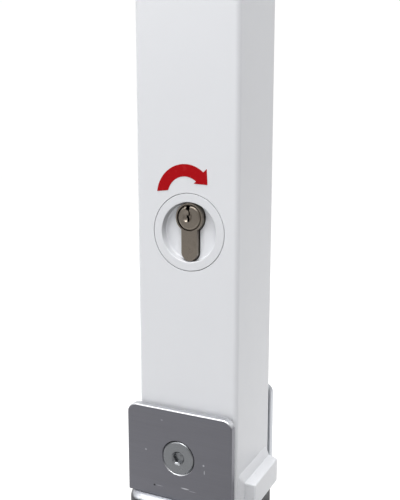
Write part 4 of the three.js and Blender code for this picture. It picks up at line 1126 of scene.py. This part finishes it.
class UPRIGHT_OT_hinge_screws(Operator):
    """Build the two countersunk hinge screws with their hexagon sockets"""
    bl_idname = "upright.hinge_screws"
    bl_label = "Hinge screws"

    def execute(self, context):
        sizes = context.scene.upright_hinge
        axis = (HINGE.x, HINGE.z)
        shank = 5 * MM
        low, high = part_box("hinge_screw_back")
        face, tip = high.y, low.y
        rim = 0.65 * MM
        cone_end = face - rim - 0.1 * MM - (sizes.head - shank)
        depth = 2.9 * MM
        for name, turn in (("back", False), ("front", True)):
            body = turned("y", axis, [
                (0, tip), (shank - 0.8 * MM, tip), (shank, tip + 0.8 * MM), (shank, cone_end),
                (sizes.head, face - rim - 0.1 * MM), (sizes.head - 0.06 * MM, face - rim + 0.06 * MM),
                (sizes.head - rim, face - 0.06 * MM), (sizes.head - rim - 0.15 * MM, face),
                (0, face)], 128)
            corner = sizes.key / 2 / cos(pi / 6)
            lead_in = turned("y", axis, [
                (0, face - 1.2 * MM), (corner - 0.45 * MM, face - 1.2 * MM),
                (corner + 0.75 * MM, face), (corner + 1.15 * MM, face + 0.4 * MM),
                (0, face + 0.4 * MM)], 64)
            socket = prism("y", hexagon(sizes.key, axis), face - depth, face + PAST)
            end = face - depth
            point = turned("y", axis, [(0, end - 0.7 * MM), (2.6 * MM, end + 0.1 * MM),
                                       (0, end + 0.2 * MM)], 48)
            tools = [socket, lead_in, point]
            if turn:
                body = mirrored(body)
                tools = [mirrored(tool) for tool in tools]
            mesh = worked(body, tools, edge=0.06 * MM, edge_steps=1)
            add_piece(f"hinge_bolt_{name}", mesh, "zinc_steel", f"hinge_screw_{name}")
        return {"FINISHED"}


class UPRIGHT_OT_bushes(Operator):
    """Build the hinge's flanged bushes and its steel sleeve"""
    bl_idname = "upright.bushes"
    bl_label = "Bushes and sleeve"

    def execute(self, context):
        axis = (HINGE.x, HINGE.z)
        low, high = BUSH_LOW.y, BUSH_HIGH.y
        bore = 8.2 * MM
        barrel = 10.5 * MM
        flange = BUSH_HIGH.x - HINGE.x
        face = POST_HIGH.y + GAP
        edge = 0.25 * MM
        for name, turn in (("back", False), ("front", True)):
            solid = turned("y", axis, [
                (bore + edge, low), (barrel - 0.6 * MM, low), (barrel, low + 0.6 * MM), (barrel, face),
                (flange - edge, face), (flange, face + edge), (flange, high - edge),
                (flange - edge, high), (bore + edge, high), (bore, high - edge), (bore, low + edge),
            ], 96, closed=True)
            if turn:
                solid = mirrored(solid)
            add_piece(f"bush_{name}", worked(solid), "black_plastic", f"hinge_bush_{name}")
        sleeve = ring("y", axis, SLEEVE_HIGH.x, 5.3 * MM, SLEEVE_LOW.y, SLEEVE_HIGH.y, 0.3 * MM, 96)
        add_piece("pivot_sleeve", worked(sleeve), "zinc_steel", "hinge_sleeve")
        return {"FINISHED"}


# ---- foot ----------------------------------------------------------------------------------

def foot_section(inset_side, inset_front, corner, z):
    half_x = PLATE_HIGH.x - inset_side
    half_y = PLATE_OUTER + SHOULDER - inset_front
    return level("z", rounded_rectangle(2 * half_x, 2 * half_y, corner, (0, 0), 10), z)


ANCHOR_PLACE = 47 * MM
ANCHOR_BORE = 4.5 * MM
ANCHOR_SINK = 10 * MM       # radius of the countersink's mouth, which lies as high as it is wide
ANCHORS = [(x * ANCHOR_PLACE, y * ANCHOR_PLACE) for x in (-1, 1) for y in (-1, 1)]


class UPRIGHT_OT_foot(Operator):
    """Build the cast foot: flange, housing with its round shoulder, tub and holes"""
    bl_idname = "upright.foot"
    bl_label = "Foot casting"

    def execute(self, context):
        sizes = context.scene.upright_foot
        top = FOOT_HIGH.z
        side = 1.5 * MM
        flange_top = 9 * MM
        fillet = 2.5 * MM
        drawn_in = 1.2 * MM     # how much the corners' radius shrinks up the shoulder
        rings = [foot_section(0, 0, sizes.corner, flange_top - 0.5 * MM)]
        for degrees in range(0, 91, 15):
            out = fillet * (1 - sin(radians(degrees)))
            rise = fillet * (1 - cos(radians(degrees)))
            rings.append(foot_section(-out, -out, sizes.corner + out, flange_top + rise))
        for degrees in range(0, 91, 9):
            inset = 1 - cos(radians(degrees))
            rings.append(foot_section(side * inset, SHOULDER * inset, sizes.corner - drawn_in * inset,
                                      top - SHOULDER + SHOULDER * sin(radians(degrees))))
        housing = loft(rings)

        half = FOOT_HIGH.x

        def flange_section(inset, z):
            width, corner = 2 * (half - inset), sizes.flange_corner - inset
            return level("z", rounded_rectangle(width, width, corner, (0, 0), 12), z)

        sole, edge = 0.6 * MM, 2 * MM
        rings = [flange_section(sole, FOOT_LOW.z), flange_section(0, FOOT_LOW.z + sole)]
        for degrees in range(0, 91, 15):
            turn = radians(degrees)
            rings.append(flange_section(edge * (1 - cos(turn)), flange_top - edge + edge * sin(turn)))
        flange = loft(rings)

        inner = PLATE_INNER - GAP
        above = top + PAST
        side_edge = PLATE_HIGH.x + PAST
        socket = 8.3 * MM
        upright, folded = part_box("upright_buffer")[0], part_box("folded_buffer")
        tub = upright.x - 0.1 * MM, folded[1].x + 0.1 * MM
        cuts = [
            bar((tub[1], -inner, SOCKET_HIGH.z), (tub[0], inner, above)),
            bar((tub[0] - PAST, -inner, upright.z - GAP), (side_edge, inner, above)),
            bar((-side_edge, -inner, folded[0].z - GAP), (tub[1] + PAST, inner, above)),
            rod("z", (BOLT.x, BOLT.y), socket, SOCKET_LOW.z - GAP, above),
        ]
        tongue = TONGUE + GAP
        for sign in (-1, 1):
            y = sorted((sign * inner, sign * (PLATE_OUTER + GAP)))
            cuts.append(bar((-tongue, y[0], PLATE_LOW.z - GAP), (tongue, y[1], above)))
        for spot in ANCHORS:
            cuts.append(turned("z", spot, [
                (0, -PAST), (ANCHOR_BORE, -PAST), (ANCHOR_BORE, ANCHOR_BORE), (ANCHOR_SINK, ANCHOR_SINK),
                (0, ANCHOR_SINK)], 64))
        reach = PLATE_OUTER + SHOULDER
        head_room = 5.3 * MM
        for sign in (-1, 1):
            for x in (-CLAMP_X, CLAMP_X):
                for radius, inward in ((CLAMP_BORE, 19 * MM), (head_room, 4.4 * MM)):
                    ends = sorted((sign * (reach - inward), sign * (reach + PAST)))
                    cuts.append(rod("y", (x, CLAMP_Z), radius, *ends))
        mesh = worked(housing, cuts, [flange], edge=0.3 * MM)
        add_piece("foot_body", mesh, "dark_coat", "foot_casting")
        return {"FINISHED"}


class UPRIGHT_OT_pads(Operator):
    """Build the floor gasket and the two rubber buffers"""
    bl_idname = "upright.pads"
    bl_label = "Gasket and buffers"

    def execute(self, context):
        low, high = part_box("floor_gasket")
        corner = context.scene.upright_foot.flange_corner
        outline = rounded_rectangle(high.x - low.x, high.y - low.y, corner, (0, 0), 12)
        holes = [rod("z", spot, ANCHOR_BORE, -PAST, high.z + PAST, steps=48) for spot in ANCHORS]
        mesh = worked(prism("z", outline, low.z, high.z), holes, edge=0.3 * MM)
        add_piece("gasket", mesh, "black_rubber", "floor_gasket")
        for node in ("upright_buffer", "folded_buffer"):
            low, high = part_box(node)
            half, deep = 0.4 * MM, 0.5 * MM
            grooves = [bar((low.x - PAST, y * MM - half, high.z - deep),
                           (high.x + PAST, y * MM + half, high.z + PAST)) for y in range(-24, 25, 8)]
            mesh = worked(bar(low, high), grooves, edge=0.2 * MM)
            add_piece(node.replace("buffer", "pad"), mesh, "black_rubber", node)
        return {"FINISHED"}


# ---- small turned pieces -------------------------------------------------------------------

def socket_screw(axis, centre, head_face, head_back, tip, head, shank, key, depth):
    """A cap screw: a softened head with a hexagon socket, and a plain shank."""
    step = 1 if head_face > tip else -1
    soft = 0.4 * MM
    body = turned(axis, centre, [
        (0, tip), (shank - soft, tip), (shank, tip + step * soft), (shank, head_back),
        (head, head_back), (head, head_face - step * soft), (head - soft, head_face),
        (0, head_face)], 64)
    ends = sorted((head_face - step * depth, head_face + step * MM))
    return body, [prism(axis, hexagon(key, centre), *ends)]


CLAMP_HEAD = 3.6 * MM
CLAMP_SCREW = {"head": 5 * MM, "shank": 3 * MM, "key": 5 * MM, "depth": 3 * MM}


class UPRIGHT_OT_small_screws(Operator):
    """Build the clamp screws, the case screws and the cylinder's fixing screw"""
    bl_idname = "upright.small_screws"
    bl_label = "Small screws"

    def execute(self, context):
        for node in ("clamp_screw_back_1", "clamp_screw_back_2", "clamp_screw_front_1",
                     "clamp_screw_front_2"):
            low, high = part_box(node)
            back = "back" in node
            face, tip = (high.y, low.y) if back else (low.y, high.y)
            head_back = face - CLAMP_HEAD if back else face + CLAMP_HEAD
            centre = middle(node)
            body, cuts = socket_screw("y", (centre.x, centre.z), face, head_back, tip, **CLAMP_SCREW)
            add_piece(node.replace("clamp_screw", "clamp"), worked(body, cuts, edge=0.08 * MM),
                      "zinc_steel", node)
        sunk = [("case_screw_1", "y", False), ("case_screw_2", "y", False),
                ("cylinder_fixing_screw", "x", True)]
        for node, axis, low_face in sunk:
            low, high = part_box(node)
            centre = middle(node)
            ends = {"x": (low.x, high.x), "y": (low.y, high.y)}[axis]
            face, tip = ends if low_face else ends[::-1]
            step = 1 if face > tip else -1
            across = (centre.x, centre.z) if axis == "y" else (centre.y, centre.z)
            body = turned(axis, across, [
                (0, tip), (SMALL_SCREW - 0.5 * MM, tip), (SMALL_SCREW, tip + step * 0.5 * MM),
                (SMALL_SCREW, face - step * (SMALL_HEAD - SMALL_SCREW)),
                (SMALL_HEAD, face - step * 0.2 * MM), (SMALL_HEAD - 0.15 * MM, face), (0, face)], 48)
            key, depth = 3 * MM, 2 * MM
            ends = sorted((face - step * depth, face + step * MM))
            mesh = worked(body, [prism(axis, hexagon(key, across), *ends)], edge=0.05 * MM)
            add_piece(node.replace("screw", "fastener"), mesh, "zinc_steel", node)
        return {"FINISHED"}


# ---- panel and registration ----------------------------------------------------------------

BUILD_ORDER = (
    UPRIGHT_OT_finishes, UPRIGHT_OT_stage, UPRIGHT_OT_post, UPRIGHT_OT_post_ends, UPRIGHT_OT_stop,
    UPRIGHT_OT_rose, UPRIGHT_OT_arrow, UPRIGHT_OT_cylinder, UPRIGHT_OT_plug, UPRIGHT_OT_plates,
    UPRIGHT_OT_hinge_screws, UPRIGHT_OT_bushes, UPRIGHT_OT_foot, UPRIGHT_OT_pads,
    UPRIGHT_OT_small_screws,
)
SETTINGS = {
    "upright_post": PostSizes,
    "upright_lock": LockSizes,
    "upright_hinge": HingeSizes,
    "upright_foot": FootSizes,
    "upright_stage": StageSettings,
}


class UPRIGHT_PT_panel(Panel):
    """Lists the upright's pieces"""
    bl_label = "Lockable upright"
    bl_idname = "UPRIGHT_PT_panel"
    bl_space_type = "VIEW_3D"
    bl_region_type = "UI"
    bl_category = "Upright"

    def draw(self, context):
        for operator in BUILD_ORDER:
            self.layout.operator(operator.bl_idname)


def register():
    for kind in (*SETTINGS.values(), *BUILD_ORDER, UPRIGHT_PT_panel):
        bpy.utils.register_class(kind)
    for name, kind in SETTINGS.items():
        setattr(bpy.types.Scene, name, PointerProperty(type=kind))


def unregister():
    for name in SETTINGS:
        delattr(bpy.types.Scene, name)
    for kind in (UPRIGHT_PT_panel, *reversed(BUILD_ORDER), *reversed(SETTINGS.values())):
        bpy.utils.unregister_class(kind)


def main():
    register()
    for operator in BUILD_ORDER:
        family, name = operator.bl_idname.split(".")
        getattr(getattr(bpy.ops, family), name)()


if __name__ == "__main__":
    main()
